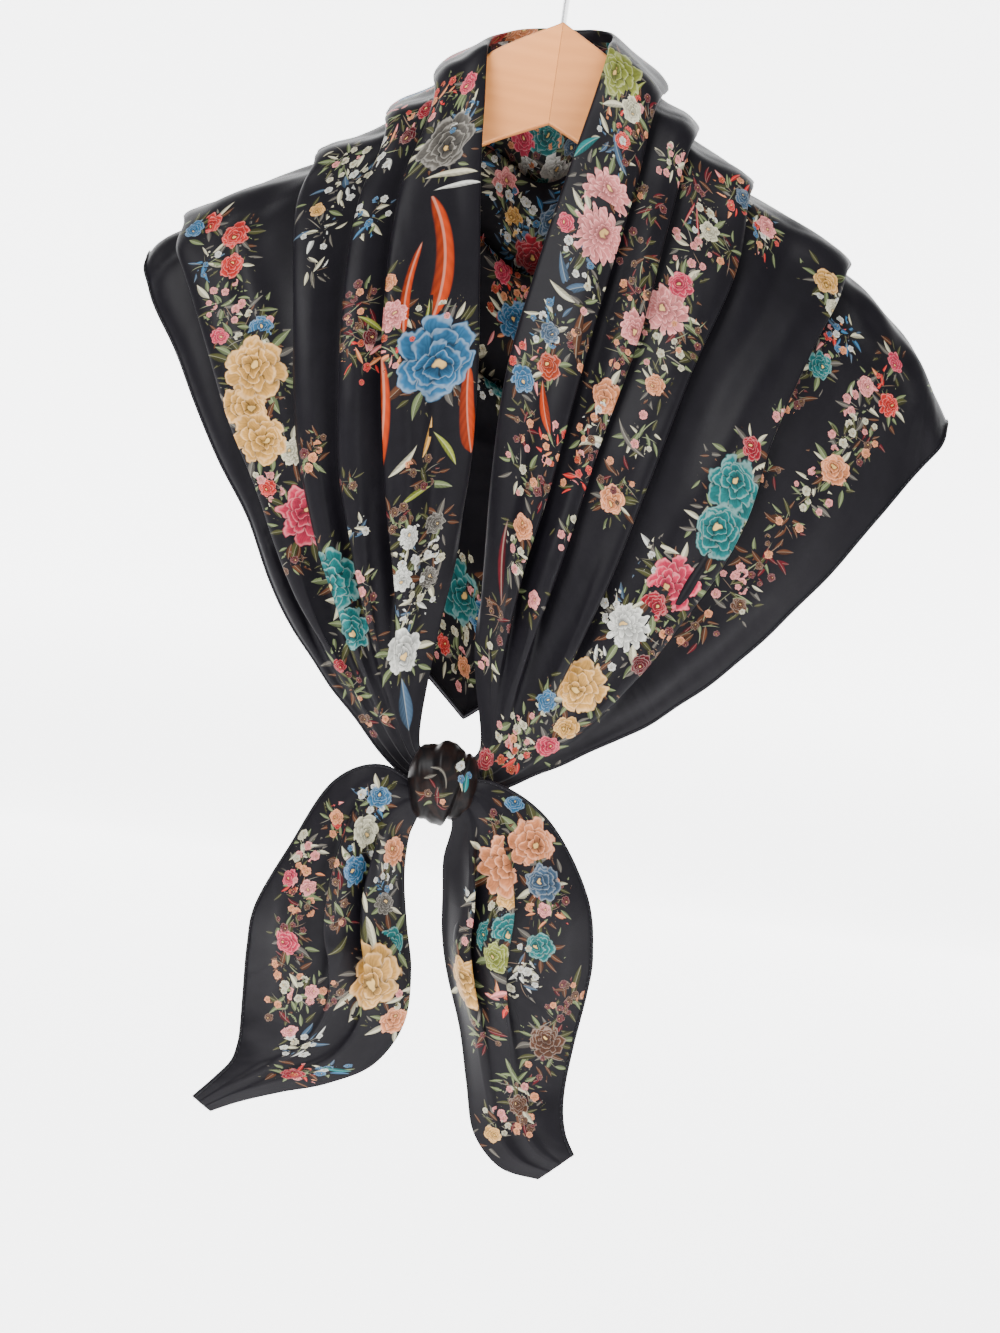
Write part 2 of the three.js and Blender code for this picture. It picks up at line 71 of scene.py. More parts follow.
# Sections of the draped cloth, from inside the knot over the shoulder to the middle of the
# back. in: the folded neck edge. out: the hem. bow and sway: how far the section swells and
# snakes off the straight line from in to out. a to d: where the pleats' crests lie, as shares
# of the section. turn: the angle in degrees by which the cloth doubles back at a crest. tuck:
# how far it runs on from there. Millimetres, the front faces -Y.
ENDS = ("in_x", "in_y", "in_z", "out_x", "out_y", "out_z")
IN, OUT = slice(0, 3), slice(3, 6)
SECTION_COLUMNS = ENDS + ("bow", "sway", "a", "b", "c", "d", "turn", "tuck")
LEFT_SECTIONS = (
    (-9, -87, -488, -14, -77, -507, 0, 0, 0.22, 0.42, 0.62, 0.82, 4, 0.2),
    (-21, -83, -481, -34, -72, -496, 1, 0, 0.22, 0.42, 0.62, 0.84, 6, 0.3),
    (-21, -77, -435, -71, -71, -460, 6, 0, 0.3, 0.5, 0.68, 0.87, 45, 2),
    (-17, -73, -381, -104, -69, -422, 10, 0, 0.34, 0.54, 0.71, 0.9, 125, 4),
    (-15, -69, -328, -133, -64, -373, 13, 0, 0.37, 0.56, 0.71, 0.92, 180, 7),
    (-18, -63, -275, -161, -57, -331, 14, 0, 0.35, 0.5, 0.66, 0.91, 180, 8),
    (-25, -53, -221, -184, -45, -293, 12, -2, 0.3, 0.44, 0.6, 0.9, 180, 8),
    (-33, -37, -163, -205, -27, -261, 6, -4, 0.24, 0.37, 0.55, 0.89, 180, 8),
    (-37, -22, -121, -212, -19, -248, -3, -5, 0.19, 0.33, 0.53, 0.89, 180, 7),
    (-40, -13, -96, -213.5, -11, -239, -10, -5, 0.17, 0.32, 0.52, 0.88, 180, 6),
    (-41.5, -4, -91.5, -214, -3, -236, -11, -5, 0.17, 0.32, 0.52, 0.88, 180, 6),
    (-41.5, 6, -89.5, -214, 6, -236, -10.5, -5, 0.17, 0.32, 0.52, 0.88, 180, 6),
    (-40, 18, -84.5, -213, 18, -241, -7, -5, 0.17, 0.32, 0.51, 0.86, 180, 7),
    (-35, 31, -80, -203, 36, -262, 0, -3, 0.165, 0.31, 0.49, 0.81, 180, 8),
    (-27, 41, -76, -156, 49, -322, 8, 0, 0.155, 0.29, 0.44, 0.68, 180, 8),
    (-12, 46, -73, -80, 55, -405, 10, 0, 0.148, 0.26, 0.4, 0.59, 180, 8),
    (0, 48, -72, 0, 56, -478, 12, 0, 0.14, 0.245, 0.38, 0.55, 180, 8),
)
RIGHT_SECTIONS = (
    (0, -87, -488, 7, -77, -507, 0, 0, 0.22, 0.42, 0.62, 0.82, 4, 0.2),
    (13, -83, -479, 29, -72, -500, 1, 0, 0.2, 0.38, 0.6, 0.84, 6, 0.3),
    (4, -77, -433, 73, -71, -474, 6, 0, 0.18, 0.34, 0.55, 0.84, 45, 2),
    (0, -73, -380, 115, -69, -444, 11, 0, 0.18, 0.31, 0.51, 0.79, 125, 4),
    (-3, -69, -326, 155, -64, -403, 15, 0, 0.2, 0.31, 0.48, 0.77, 180, 7),
    (-3, -63, -272, 187, -57, -362, 16, 0, 0.2, 0.3, 0.46, 0.74, 180, 8),
    (4, -53, -219, 212, -45, -325, 14, -2, 0.18, 0.29, 0.44, 0.68, 180, 8),
    (14, -37, -161, 235, -27, -292, 12, -5, 0.16, 0.26, 0.43, 0.65, 180, 8),
    (22, -22, -118, 245, -19, -278, 8, -8, 0.15, 0.25, 0.41, 0.64, 180, 7),
    (27, -13, -89, 247.5, -11, -268, 5, -9, 0.15, 0.25, 0.4, 0.64, 180, 7),
    (28.5, -4, -82, 248, -3, -265.5, 5, -9, 0.15, 0.25, 0.4, 0.64, 180, 7),
    (30, 6, -78.5, 248, 6, -265.5, 5, -9, 0.15, 0.25, 0.4, 0.64, 180, 7),
    (30, 18, -74, 245, 18, -270, 5, -8, 0.15, 0.25, 0.4, 0.65, 180, 7),
    (27, 31, -70.5, 227, 36, -290, 6, -5, 0.15, 0.25, 0.4, 0.65, 180, 8),
    (19, 41, -69.5, 167, 49, -339, 9, 0, 0.153, 0.265, 0.415, 0.63, 180, 8),
    (9, 46, -71, 83, 55, -408, 11, 0, 0.148, 0.255, 0.39, 0.57, 180, 8),
    (0, 48, -72, 0, 56, -478, 12, 0, 0.14, 0.245, 0.38, 0.55, 180, 8),
)
# The two hanging tails, from inside the knot to the tip, with two pleats each.
TAIL_COLUMNS = ENDS + ("bow", "sway", "a", "b", "turn", "tuck")
LEFT_TAIL = (
    (-9, -91, -504, -8, -85, -514, 0, 0, 0.36, 0.68, 4, 0.2),
    (-17, -88, -523, -37, -92, -496, 3, 0, 0.36, 0.68, 12, 0.4),
    (-20, -82, -535, -64, -89, -509, 9, 0, 0.34, 0.66, 65, 2.5),
    (-19.5, -79, -556, -83, -83, -550, 13, 0, 0.32, 0.62, 140, 4),
    (-14.5, -75, -584, -97, -78, -583, 14, -2, 0.29, 0.55, 180, 6),
    (-9, -73, -609, -98.5, -75, -607, 13, -3, 0.27, 0.5, 130, 4),
    (-9, -71, -639, -97, -74, -636, 10, -3, 0.27, 0.5, 60, 2),
    (-22, -71, -664, -96, -75, -651, 7, -2, 0.3, 0.55, 40, 1.5),
    (-45.5, -72, -678, -96, -76, -661.5, 4, 0, 0.34, 0.6, 28, 1),
    (-69, -74, -686, -98, -78, -672, 3, 0, 0.36, 0.66, 22, 0.6),
    (-91, -76, -694.5, -105.5, -80, -682, 2, 0, 0.36, 0.68, 8, 0.3),
    (-106.5, -78, -702, -116.5, -81, -694.5, 0.5, 0, 0.36, 0.68, 4, 0.2),
)
RIGHT_TAIL = (
    (-3, -91, -508, 1, -85, -499, 0, 0, 0.36, 0.68, 4, 0.2),
    (4, -88, -522, 25, -92, -497, 3, 0, 0.36, 0.68, 12, 0.4),
    (2.5, -82, -542, 55, -89, -513, 9, 0, 0.3, 0.62, 65, 2.5),
    (5, -79, -563, 82, -83, -552, 13, 0, 0.24, 0.52, 140, 4),
    (8, -76, -586, 90, -79, -584, 14, 2, 0.2, 0.46, 180, 6),
    (14, -74, -608, 90, -77, -607, 12, 3, 0.2, 0.46, 130, 4),
    (25, -72, -637, 87, -76, -636, 9, 3, 0.22, 0.5, 60, 2),
    (33, -71, -666.5, 85.5, -75, -660, 7, 2, 0.26, 0.56, 40, 1.5),
    (41, -72, -693.5, 86.5, -77, -675, 4, 0, 0.3, 0.6, 28, 1),
    (58, -75, -710, 90, -79, -687, 3, 0, 0.32, 0.64, 22, 0.6),
    (79.5, -77, -713.5, 96, -81, -696.5, 1, 0, 0.34, 0.66, 6, 0.3),
)

# Soft folds pressed into the cloth by hand. Each runs along the cloth from one station to
# another. across_from and across_to: where it lies there, as shares of the section. wide:
# its half width. high: its height, below 0 for a trough. Millimetres.
CREASE_COLUMNS = ("from_s", "to_s", "across_from", "across_to", "wide", "high")
CREASES = {
    "front_left": (
        (0.8, 6.5, 0.12, 0.16, 5, -2.2),
        (1.2, 5.5, 0.25, 0.27, 4, 1.8),
        (0.9, 4.0, 0.45, 0.44, 4, -2.0),
        (1.0, 7.5, 0.8, 0.78, 8, -3.0),
        (3.0, 9.5, 0.72, 0.7, 9, 2.2),
        (6.0, 11.2, 0.08, 0.07, 6, -1.6),
        (0.9, 4.5, 0.95, 0.95, 4, 1.6),
    ),
    "front_right": (
        (0.8, 5.5, 0.08, 0.09, 5, -2.0),
        (1.0, 6.5, 0.42, 0.4, 7, -2.6),
        (1.2, 8.5, 0.62, 0.57, 11, 2.8),
        (0.9, 6.0, 0.72, 0.68, 7, -3.2),
        (2.5, 9.5, 0.9, 0.86, 10, 2.4),
        (1.0, 4.5, 0.93, 0.93, 5, -2.2),
        (5.5, 10.5, 0.52, 0.5, 9, -2.4),
    ),
    "back": (
        (12.2, 16.0, 0.75, 0.72, 14, 2.4),
        (12.0, 16.0, 0.9, 0.86, 12, -2.6),
        (13.0, 16.0, 0.65, 0.63, 9, -1.8),
    ),
    "tail_left": (
        (0.7, 4.5, 0.2, 0.16, 5, -2.4),
        (1.0, 6.5, 0.82, 0.74, 8, 3.0),
        (4.5, 9.5, 0.45, 0.42, 8, -2.4),
        (2.5, 7.5, 0.62, 0.6, 6, -2.2),
    ),
    "tail_right": (
        (0.7, 4.5, 0.15, 0.12, 5, -2.4),
        (1.0, 7.0, 0.78, 0.74, 9, 3.2),
        (4.0, 9.5, 0.4, 0.42, 8, -2.6),
        (2.0, 6.5, 0.6, 0.58, 6, -2.0),
    ),
}

# Printing inks, as display red, green and blue.
INKS = {
    "coral": (208, 78, 72), "rose": (208, 84, 112), "crimson": (176, 48, 72), "pink": (226, 158, 156),
    "peach": (222, 160, 120), "gold": (218, 178, 112), "teal": (52, 138, 138), "blue": (80, 132, 164),
    "cream": (206, 202, 180), "white": (214, 214, 208), "orange": (188, 88, 38), "sage": (136, 146, 112),
    "olive": (98, 98, 66), "slate": (96, 118, 138), "stone": (122, 118, 112), "brown": (118, 84, 62),
    "plum": (122, 44, 56), "lime": (160, 166, 92),
}
MIXES = {
    "cream": ("cream", "white", "stone", "cream", "slate"),
    "sage": ("sage", "olive", "cream", "sage", "stone"),
    "cool": ("slate", "cream", "sage", "blue"),
    "warm": ("peach", "coral", "pink", "sage", "olive"),
    "dusk": ("brown", "olive", "brown", "sage", "plum"),
}
BUD_MIXES = {
    "cream": ("cream", "white"), "sage": ("pink", "cream"), "cool": ("blue", "white"),
    "warm": ("coral", "pink", "orange", "peach"), "dusk": ("brown", "plum", "peach"),
}

# The picture that places the motifs, in pixels. right and down are counted from its upper left
# corner, and each motif lies where the camera sees that place on its piece of cloth.
PICTURE_WIDE, PICTURE_HIGH = 1000, 1333

# Blossoms, by the piece they are printed on. radius: of the bloom, in millimetres. petals: how
# many its outer rings have.
BLOSSOM_COLUMNS = ("right", "down", "radius", "petals", "ink")
BLOSSOMS = {
    "front_left": (
        (210, 218, 7, 5, "coral"), (233, 229, 8.5, 6, "coral"), (226, 264, 7.5, 5, "coral"),
        (191, 224, 6, 5, "blue"), (258, 326, 7.5, 6, "blue"), (216, 332, 5, 5, "rose"),
        (246, 404, 13, 6, "gold"), (250, 372, 17, 7, "gold"), (264, 436, 15, 7, "gold"),
        (336, 609, 11, 6, "teal"), (291, 452, 7.5, 9, "cream"), (262, 487, 5, 5, "coral"),
        (303, 517, 17, 8, "rose"), (328, 583, 17, 7, "teal"), (347, 634, 13, 6, "teal"),
        (338, 671, 4, 5, "crimson"), (392, 312, 9, 9, "pink"), (385, 279, 5, 5, "peach"),
        (375, 334, 5, 5, "plum"), (438, 353, 24, 6, "blue"), (413, 538, 6.5, 9, "white"),
        (440, 522, 6, 8, "stone"), (401, 581, 6.5, 9, "white"), (433, 580, 6, 8, "stone"),
        (407, 654, 12, 5, "white"), (450, 138, 17, 6, "stone"), (424, 104, 6, 5, "crimson"),
        (320, 205, 4.5, 5, "gold"), (414, 134, 5, 5, "plum"), (466, 80, 6, 5, "rose"),
    ),
    "front_right": (
        (619, 68, 15, 7, "lime"), (630, 104, 7, 5, "cream"), (606, 190, 15, 13, "pink"),
        (597, 228, 16, 15, "pink"), (562, 220, 5.5, 5, "rose"), (545, 330, 6, 6, "slate"),
        (517, 378, 7.5, 6, "blue"), (547, 362, 7.5, 5, "orange"), (604, 392, 9.5, 5, "peach"),
        (653, 381, 6, 5, "peach"), (664, 306, 14, 12, "pink"), (680, 281, 8, 6, "rose"),
        (640, 324, 10, 9, "pink"), (607, 497, 7.5, 5, "peach"), (517, 524, 7, 5, "peach"),
        (528, 601, 5, 5, "pink"), (738, 488, 17, 7, "teal"), (720, 533, 15, 6, "teal"),
        (756, 448, 6.5, 6, "crimson"), (678, 586, 15, 8, "rose"), (657, 609, 8, 6, "crimson"),
        (629, 627, 12.5, 12, "white"), (581, 692, 15, 7, "gold"), (566, 728, 7, 6, "gold"),
        (545, 707, 6.5, 6, "blue"), (491, 762, 6, 5, "crimson"), (543, 750, 6.5, 5, "rose"),
        (828, 276, 8, 5, "gold"), (838, 306, 5.5, 5, "cream"), (823, 361, 7.5, 7, "teal"),
        (900, 359, 6, 6, "rose"), (871, 384, 5.5, 5, "pink"), (894, 404, 6.5, 8, "coral"),
        (838, 467, 8.5, 5, "peach"), (643, 667, 6, 5, "plum"), (740, 606, 4.5, 5, "brown"),
        (709, 226, 6, 5, "cream"), (771, 224, 6, 6, "pink"), (748, 196, 5.5, 5, "slate"),
        (622, 135, 5, 5, "coral"),
    ),
    "back": (
        (505, 34, 12, 7, "coral"), (527, 36, 9, 6, "peach"), (545, 143, 11, 7, "teal"),
        (572, 150, 7, 6, "slate"),
    ),
    "tail_right": (
        (499, 864, 18, 8, "peach"), (537, 842, 14, 7, "peach"), (510, 894, 9, 6, "gold"),
        (544, 883, 10, 6, "slate"), (480, 938, 9, 5, "teal"), (508, 936, 9.5, 5, "teal"),
        (535, 950, 8, 5, "teal"), (492, 962, 8.5, 6, "lime"), (461, 986, 15, 7, "gold"),
        (550, 1047, 10, 8, "brown"), (488, 1138, 5, 5, "gold"), (515, 1110, 6, 6, "brown"),
        (539, 912, 4, 5, "pink"), (519, 800, 5, 5, "blue"),
    ),
    "tail_left": (
        (383, 803, 6.5, 5, "blue"), (371, 832, 9, 6, "cream"), (360, 874, 9, 6, "blue"),
        (400, 852, 8, 6, "peach"), (390, 906, 7, 8, "stone"), (398, 944, 9, 5, "teal"),
        (371, 982, 21, 7, "gold"), (397, 1024, 8, 6, "peach"), (337, 818, 4, 5, "peach"),
        (284, 877, 5, 5, "rose"), (313, 891, 4.5, 5, "pink"), (285, 947, 7, 6, "rose"),
        (312, 997, 4, 5, "pink"), (291, 1037, 4, 5, "pink"), (294, 1078, 5.5, 5, "crimson"),
    ),
}

# Long leaves. half: half the length, in millimetres. wide: half the width, as a share of half,
# and 1 more than that for a long blunt blade. turn: from across the cloth, in degrees. bend: how
# far its tips bow to one side, as a share of half.
LEAF_COLUMNS = ("right", "down", "half", "wide", "turn", "bend", "ink")
LEAVES = {
    "front_left": (
        (446, 246, 38, 1.15, 86, 0.22, "orange"), (410, 284, 27, 1.11, 97, -0.12, "orange"),
        (378, 420, 36, 1.12, 97, 0.16, "orange"), (470, 408, 25, 1.2, 84, -0.1, "orange"),
        (434, 438, 12, 0.16, 105, 0.1, "gold"), (450, 446, 13, 0.16, 55, 0.1, "lime"),
        (408, 462, 12, 0.17, 140, 0.12, "cream"), (437, 484, 11, 0.2, 10, 0.1, "sage"),
        (421, 492, 11, 0.18, 160, -0.1, "lime"), (376, 320, 10, 0.2, 30, 0.1, "lime"),
        (430, 310, 9, 0.12, 100, 0.1, "lime"), (400, 706, 15, 0.3, 92, 0, "slate"),
        (455, 168, 17, 0.14, 8, 0.12, "cream"), (458, 181, 15, 0.12, 5, 0.1, "white"),
    ),
    "front_right": (
        (560, 270, 13, 0.22, 125, 0.1, "slate"), (573, 284, 11, 0.24, 35, 0.1, "slate"),
        (556, 290, 10, 0.22, 165, 0.1, "cream"), (540, 405, 15, 0.22, 118, 0.1, "orange"),
        (578, 328, 15, 0.2, 96, 0.1, "brown"), (496, 560, 24, 0.12, 94, 0.1, "plum"),
        (601, 441, 13, 0.2, 20, 0.3, "cream"), (624, 436, 13, 0.16, 150, 0.25, "stone"),
        (694, 200, 18, 0.06, 70, 0.1, "crimson"), (700, 215, 16, 0.06, 105, 0.1, "crimson"),
        (664, 548, 10, 0.22, 20, 0.1, "cream"), (662, 560, 9, 0.25, 150, 0.1, "sage"),
        (612, 606, 9, 0.14, 120, 0, "cream"), (640, 604, 9, 0.14, 60, 0, "cream"),
        (611, 100, 10, 0.2, 30, 0.1, "cream"), (638, 88, 12, 0.16, 80, 0.1, "lime"),
        (618, 150, 12, 0.2, 130, 0.1, "slate"), (585, 140, 12, 0.22, 60, 0.1, "teal"),
    ),
    "knot": (
        (449, 773, 8, 1.13, 135, -0.5, "stone"), (427, 772, 4, 0.3, 70, 0, "stone"),
        (471, 782, 6, 0.35, 0, 0, "teal"),
    ),
    "tail_right": (
        (470, 906, 9, 0.25, 20, 0.1, "stone"), (476, 898, 8, 0.25, 150, 0.1, "cream"),
        (506, 986, 9, 0.25, 20, 0.1, "stone"), (500, 1000, 8, 0.25, 160, 0.1, "pink"),
        (486, 1014, 7, 0.28, 120, 0.1, "stone"), (579, 988, 11, 0.2, 95, 0.1, "olive"),
        (509, 1078, 9, 0.2, 60, 0.1, "sage"),
    ),
    "tail_left": (
        (360, 905, 9, 0.2, 110, 0.1, "cream"), (345, 950, 9, 0.22, 40, 0.1, "olive"),
        (378, 936, 12, 0.22, 100, 0.1, "cream"), (336, 1075, 8, 0.25, 20, 0.1, "teal"),
    ),
}

# Sprays of small leaves and buds. reach: how far they scatter from the middle, in millimetres.
# count: how many there are, before FULLNESS.
SPRAY_COLUMNS = ("right", "down", "reach", "count", "mix")
SPRAYS = {
    "front_left": (
        (352, 178, 17, 16, "cream"), (325, 225, 13, 11, "cream"), (318, 268, 9, 5, "cream"),
        (380, 150, 14, 12, "cream"), (402, 110, 16, 12, "warm"), (440, 90, 14, 10, "warm"),
        (205, 260, 9, 8, "cool"), (222, 298, 14, 14, "sage"), (250, 305, 12, 10, "sage"),
        (238, 336, 12, 10, "sage"), (275, 478, 13, 9, "sage"), (288, 560, 10, 7, "dusk"),
        (318, 440, 6, 5, "dusk"), (355, 690, 12, 10, "dusk"), (372, 722, 10, 9, "dusk"),
        (350, 530, 8, 7, "cream"), (358, 585, 10, 8, "sage"), (365, 610, 8, 6, "dusk"),
        (420, 560, 17, 20, "cream"), (410, 620, 10, 10, "cream"), (395, 345, 14, 12, "warm"),
        (440, 305, 12, 6, "sage"), (462, 120, 12, 10, "cool"), (350, 480, 7, 5, "dusk"),
        (365, 300, 13, 12, "dusk"), (368, 360, 12, 12, "warm"), (345, 330, 10, 8, "dusk"),
        (372, 210, 12, 12, "cool"), (345, 150, 13, 14, "sage"), (430, 470, 13, 12, "dusk"),
        (310, 460, 10, 10, "dusk"), (425, 600, 12, 12, "cream"), (395, 520, 12, 12, "dusk"),
    ),
    "front_right": (
        (620, 100, 15, 14, "warm"), (612, 140, 14, 14, "cool"), (640, 150, 12, 9, "dusk"),
        (572, 250, 12, 10, "cool"), (548, 320, 14, 14, "cool"), (530, 360, 12, 12, "warm"),
        (520, 420, 12, 10, "dusk"), (515, 470, 13, 12, "sage"), (510, 560, 13, 12, "sage"),
        (495, 620, 13, 12, "dusk"), (485, 660, 10, 9, "sage"), (640, 250, 16, 12, "dusk"),
        (690, 245, 15, 14, "sage"), (712, 220, 12, 10, "cream"), (660, 345, 18, 20, "sage"),
        (620, 350, 12, 12, "dusk"), (605, 425, 14, 14, "cream"), (640, 430, 12, 9, "sage"),
        (585, 480, 14, 11, "warm"), (570, 530, 10, 5, "sage"), (770, 240, 12, 10, "warm"),
        (760, 215, 12, 10, "cool"), (655, 560, 12, 8, "cream"), (618, 612, 12, 12, "cream"),
        (555, 725, 14, 12, "sage"), (515, 738, 15, 18, "sage"), (520, 760, 10, 8, "warm"),
        (600, 668, 8, 6, "cream"), (840, 300, 12, 12, "cream"), (835, 335, 12, 11, "warm"),
        (800, 395, 10, 8, "dusk"), (785, 425, 8, 7, "sage"), (865, 410, 12, 14, "sage"),
        (885, 385, 10, 10, "warm"), (850, 440, 10, 9, "sage"), (815, 490, 12, 13, "sage"),
        (790, 520, 10, 10, "dusk"), (762, 560, 14, 14, "dusk"), (735, 590, 14, 15, "sage"),
        (700, 625, 14, 15, "dusk"), (665, 650, 12, 12, "dusk"), (770, 470, 8, 6, "dusk"),
        (655, 125, 12, 12, "dusk"), (672, 158, 13, 14, "sage"), (648, 200, 12, 12, "dusk"),
        (735, 188, 12, 12, "warm"), (694, 178, 13, 14, "dusk"), (730, 250, 13, 12, "dusk"),
        (640, 290, 13, 14, "dusk"), (600, 300, 12, 12, "sage"), (588, 345, 13, 12, "dusk"),
        (592, 440, 14, 12, "dusk"), (556, 450, 12, 12, "warm"), (620, 480, 13, 12, "dusk"),
        (545, 500, 12, 12, "dusk"), (690, 330, 13, 12, "dusk"), (850, 330, 12, 12, "cool"),
        (870, 440, 12, 12, "dusk"),
    ),
    "tail_left": (
        (330, 860, 12, 12, "dusk"), (375, 800, 10, 10, "cool"), (395, 880, 9, 10, "cream"),
        (335, 905, 12, 12, "dusk"), (280, 1010, 11, 14, "dusk"), (335, 1000, 11, 10, "dusk"),
        (410, 1000, 8, 8, "sage"), (330, 818, 9, 9, "warm"), (300, 848, 11, 14, "sage"),
        (295, 880, 12, 16, "warm"), (305, 905, 10, 10, "dusk"), (290, 930, 9, 9, "dusk"),
        (288, 970, 11, 14, "dusk"), (300, 1000, 11, 15, "sage"), (300, 1050, 11, 14, "cream"),
        (300, 1080, 8, 8, "warm"), (330, 1075, 9, 8, "cool"), (365, 855, 9, 8, "cool"),
        (350, 920, 10, 8, "dusk"), (388, 890, 8, 8, "cool"),
    ),
    "tail_right": (
        (500, 905, 12, 14, "cream"), (560, 900, 11, 12, "dusk"), (470, 940, 9, 10, "sage"),
        (520, 985, 12, 12, "cream"), (575, 1000, 11, 14, "dusk"), (480, 1040, 11, 12, "dusk"),
        (530, 1085, 11, 12, "dusk"), (470, 905, 9, 8, "cream"), (545, 915, 12, 12, "warm"),
        (525, 965, 12, 10, "cream"), (495, 1005, 9, 6, "warm"), (560, 1020, 10, 10, "dusk"),
        (545, 1060, 12, 14, "dusk"), (508, 1090, 11, 14, "sage"), (495, 1125, 10, 12, "sage"),
        (512, 1125, 9, 8, "dusk"), (500, 820, 9, 8, "dusk"),
    ),
    "knot": (
        (430, 800, 8, 5, "dusk"), (466, 776, 7, 3, "cool"),
    ),
}

# Garlands that run along the hem. in_hem: how far inside it, measured along the cloth.
# low and high: the least and greatest radius of their blossoms. Millimetres.
GARLAND_COLUMNS = ("in_hem", "from_s", "to_s", "spacing", "low", "high", "inks", "mix")
GARLANDS = {
    "back": (
        (62, 11.7, 20.2, 25, 9, 17, ("rose", "teal", "gold", "white", "coral", "blue"), "sage"),
        (24, 11.7, 20.2, 20, 3.5, 6.5, ("pink", "coral", "peach", "cream"), "sage"),
        (190, 11.7, 20.2, 34, 7, 14, ("pink", "gold", "slate", "rose", "teal"), "cream"),
        (262, 11.7, 20.2, 34, 6, 13, ("rose", "teal", "peach", "blue"), "warm"),
        (325, 11.7, 20.2, 30, 6, 14, ("pink", "gold", "crimson", "slate"), "cool"),
        (388, 11.7, 20.2, 32, 6, 12, ("peach", "teal", "rose", "white"), "dusk"),
    ),
    "front_right": (
        (330, 8.6, 11.6, 30, 5, 10, ("rose", "blue", "peach"), "cool"),
        (24, 9.4, 11.6, 20, 3.5, 6.5, ("pink", "coral", "peach", "cream"), "sage"),
    ),
    "front_left": (
        (62, 9.0, 11.6, 25, 8, 14, ("coral", "gold", "blue", "rose"), "sage"),
    ),
}

# A garland's sprays reach further than its blossoms, by millimetres, and hold more leaves than
# a blossom's radius counts. Its blossoms have one of these numbers of petals.
GARLAND_REACH, GARLAND_LEAVES = 9, 10
GARLAND_PETALS = (5, 6, 7, 8, 12)

# A spray has FULLNESS times its count, and LEAVES_AMONG_BUDS of these are leaves. Its stems are
# STEM_WIDE as wide as they are long.
FULLNESS, LEAVES_AMONG_BUDS = 2.0, 0.72
STEMS, STEM_WIDE = 4, 0.055
STEM_INKS = ("olive", "brown", "sage", "stone")

# Dim leaves under the blossoms: how many for each millimetre of radius, and how far out, in
# millimetres.
UNDERGROWTH, UNDERGROWTH_REACH = 2.2, 8
DIM_INKS = ("olive", "brown", "stone", "olive", "sage")

# Leaves that point outward from under a blossom of this radius or more, in millimetres.
RING_FROM = 6
RING_INKS = ("sage", "olive", "olive", "stone", "brown", "sage", "cream")

# Each stretch's seeds: one for the unevenness of the cloth, one for its print.
FOLD_SEEDS = {"front_left": 3, "front_right": 3, "back": 3, "tail_left": 5, "tail_right": 5}
PRINT_SEEDS = {"front_left": 21, "front_right": 21, "back": 34, "tail_left": 55, "tail_right": 55, "knot": 8}

# Outline of one arm of the hanger, out from the middle, as across and up, in millimetres.
BOARD_TOP = (
    (0, -75), (28, -90.5), (42, -101.5), (60, -127), (80, -148),
    (101, -166), (131, -185), (165, -204.5), (184, -218),
)
BOARD_FOOT = ((186, -228), (165, -222.5), (131, -207), (101, -191.5), (60, -166.5), (35, -149), (0, -132))

# Soft lights: where each stands and points, in metres, its size and its power in watts.
LIGHTS = (
    ("key", (-0.9, -1.3, 0.8), (0, 0, -0.35), 0.9, 52),
    ("fill", (1.3, -1.4, 0.1), (0, 0, -0.35), 1.4, 23),
    ("top", (0.1, -0.5, 1.4), (0, 0, -0.4), 1.3, 5),
)
# The camera: where it looks, in metres, how far off it stands, its rise and its roll, in degrees.
# The sensor's 36 mm lie along the picture's longer side.
CAMERA_AIM = (0.017, -0.040, -0.437)
CAMERA_AWAY, CAMERA_RISE, CAMERA_ROLL = 1.7, 4.5, 8.3
LENS, SENSOR = 82, 36

# Colours as linear red, green and blue. The first of two is the darker or the paler ground.
SILK_GROUND = ((0.0030, 0.0026, 0.0038, 1), (0.0056, 0.0049, 0.0068, 1))
KNOT_GROUND = ((0.0026, 0.0021, 0.0024, 1), (0.0085, 0.0044, 0.0036, 1))
HEM_GROUND = ((0.0032, 0.0029, 0.0040, 1), (0.0072, 0.0064, 0.0085, 1))
WOOD_PALE, WOOD_DEEP = (0.68, 0.255, 0.064), (0.57, 0.196, 0.046)
STEEL = (0.72, 0.72, 0.73, 1)
THREAD = (0.012, 0.011, 0.014, 1)
PETAL_RIM = (0.85, 0.80, 0.70, 1)
BLOSSOM_HEART = (0.70, 0.44, 0.14, 1)
LEAF_VEIN = (0.7, 0.66, 0.5, 1)
PAPER = (0.93, 0.93, 0.935, 1)
ROOM = (0.94, 0.96, 1.0, 1)

# The stations where the cloth comes out of the knot and lies on the ridge of the shoulder, and
# where the fronts meet the back.
KNOT_SEAM, SHOULDER_RIDGE, SHOULDER_SEAM = 0.3, 10, 11.6

# How finely the round pieces are divided: a rolled hem, the knot, and the boards' two edges.
HEM_SIDES, KNOT_RINGS, KNOT_SIDES = 8, 72, 112
TOP_STEPS, FOOT_STEPS = 40, 30


def setting(name, description, default, **more):
    """A number that the panel shows. Its unit is in the description."""
    return bpy.props.FloatProperty(name=name, description=description, default=default, **more)


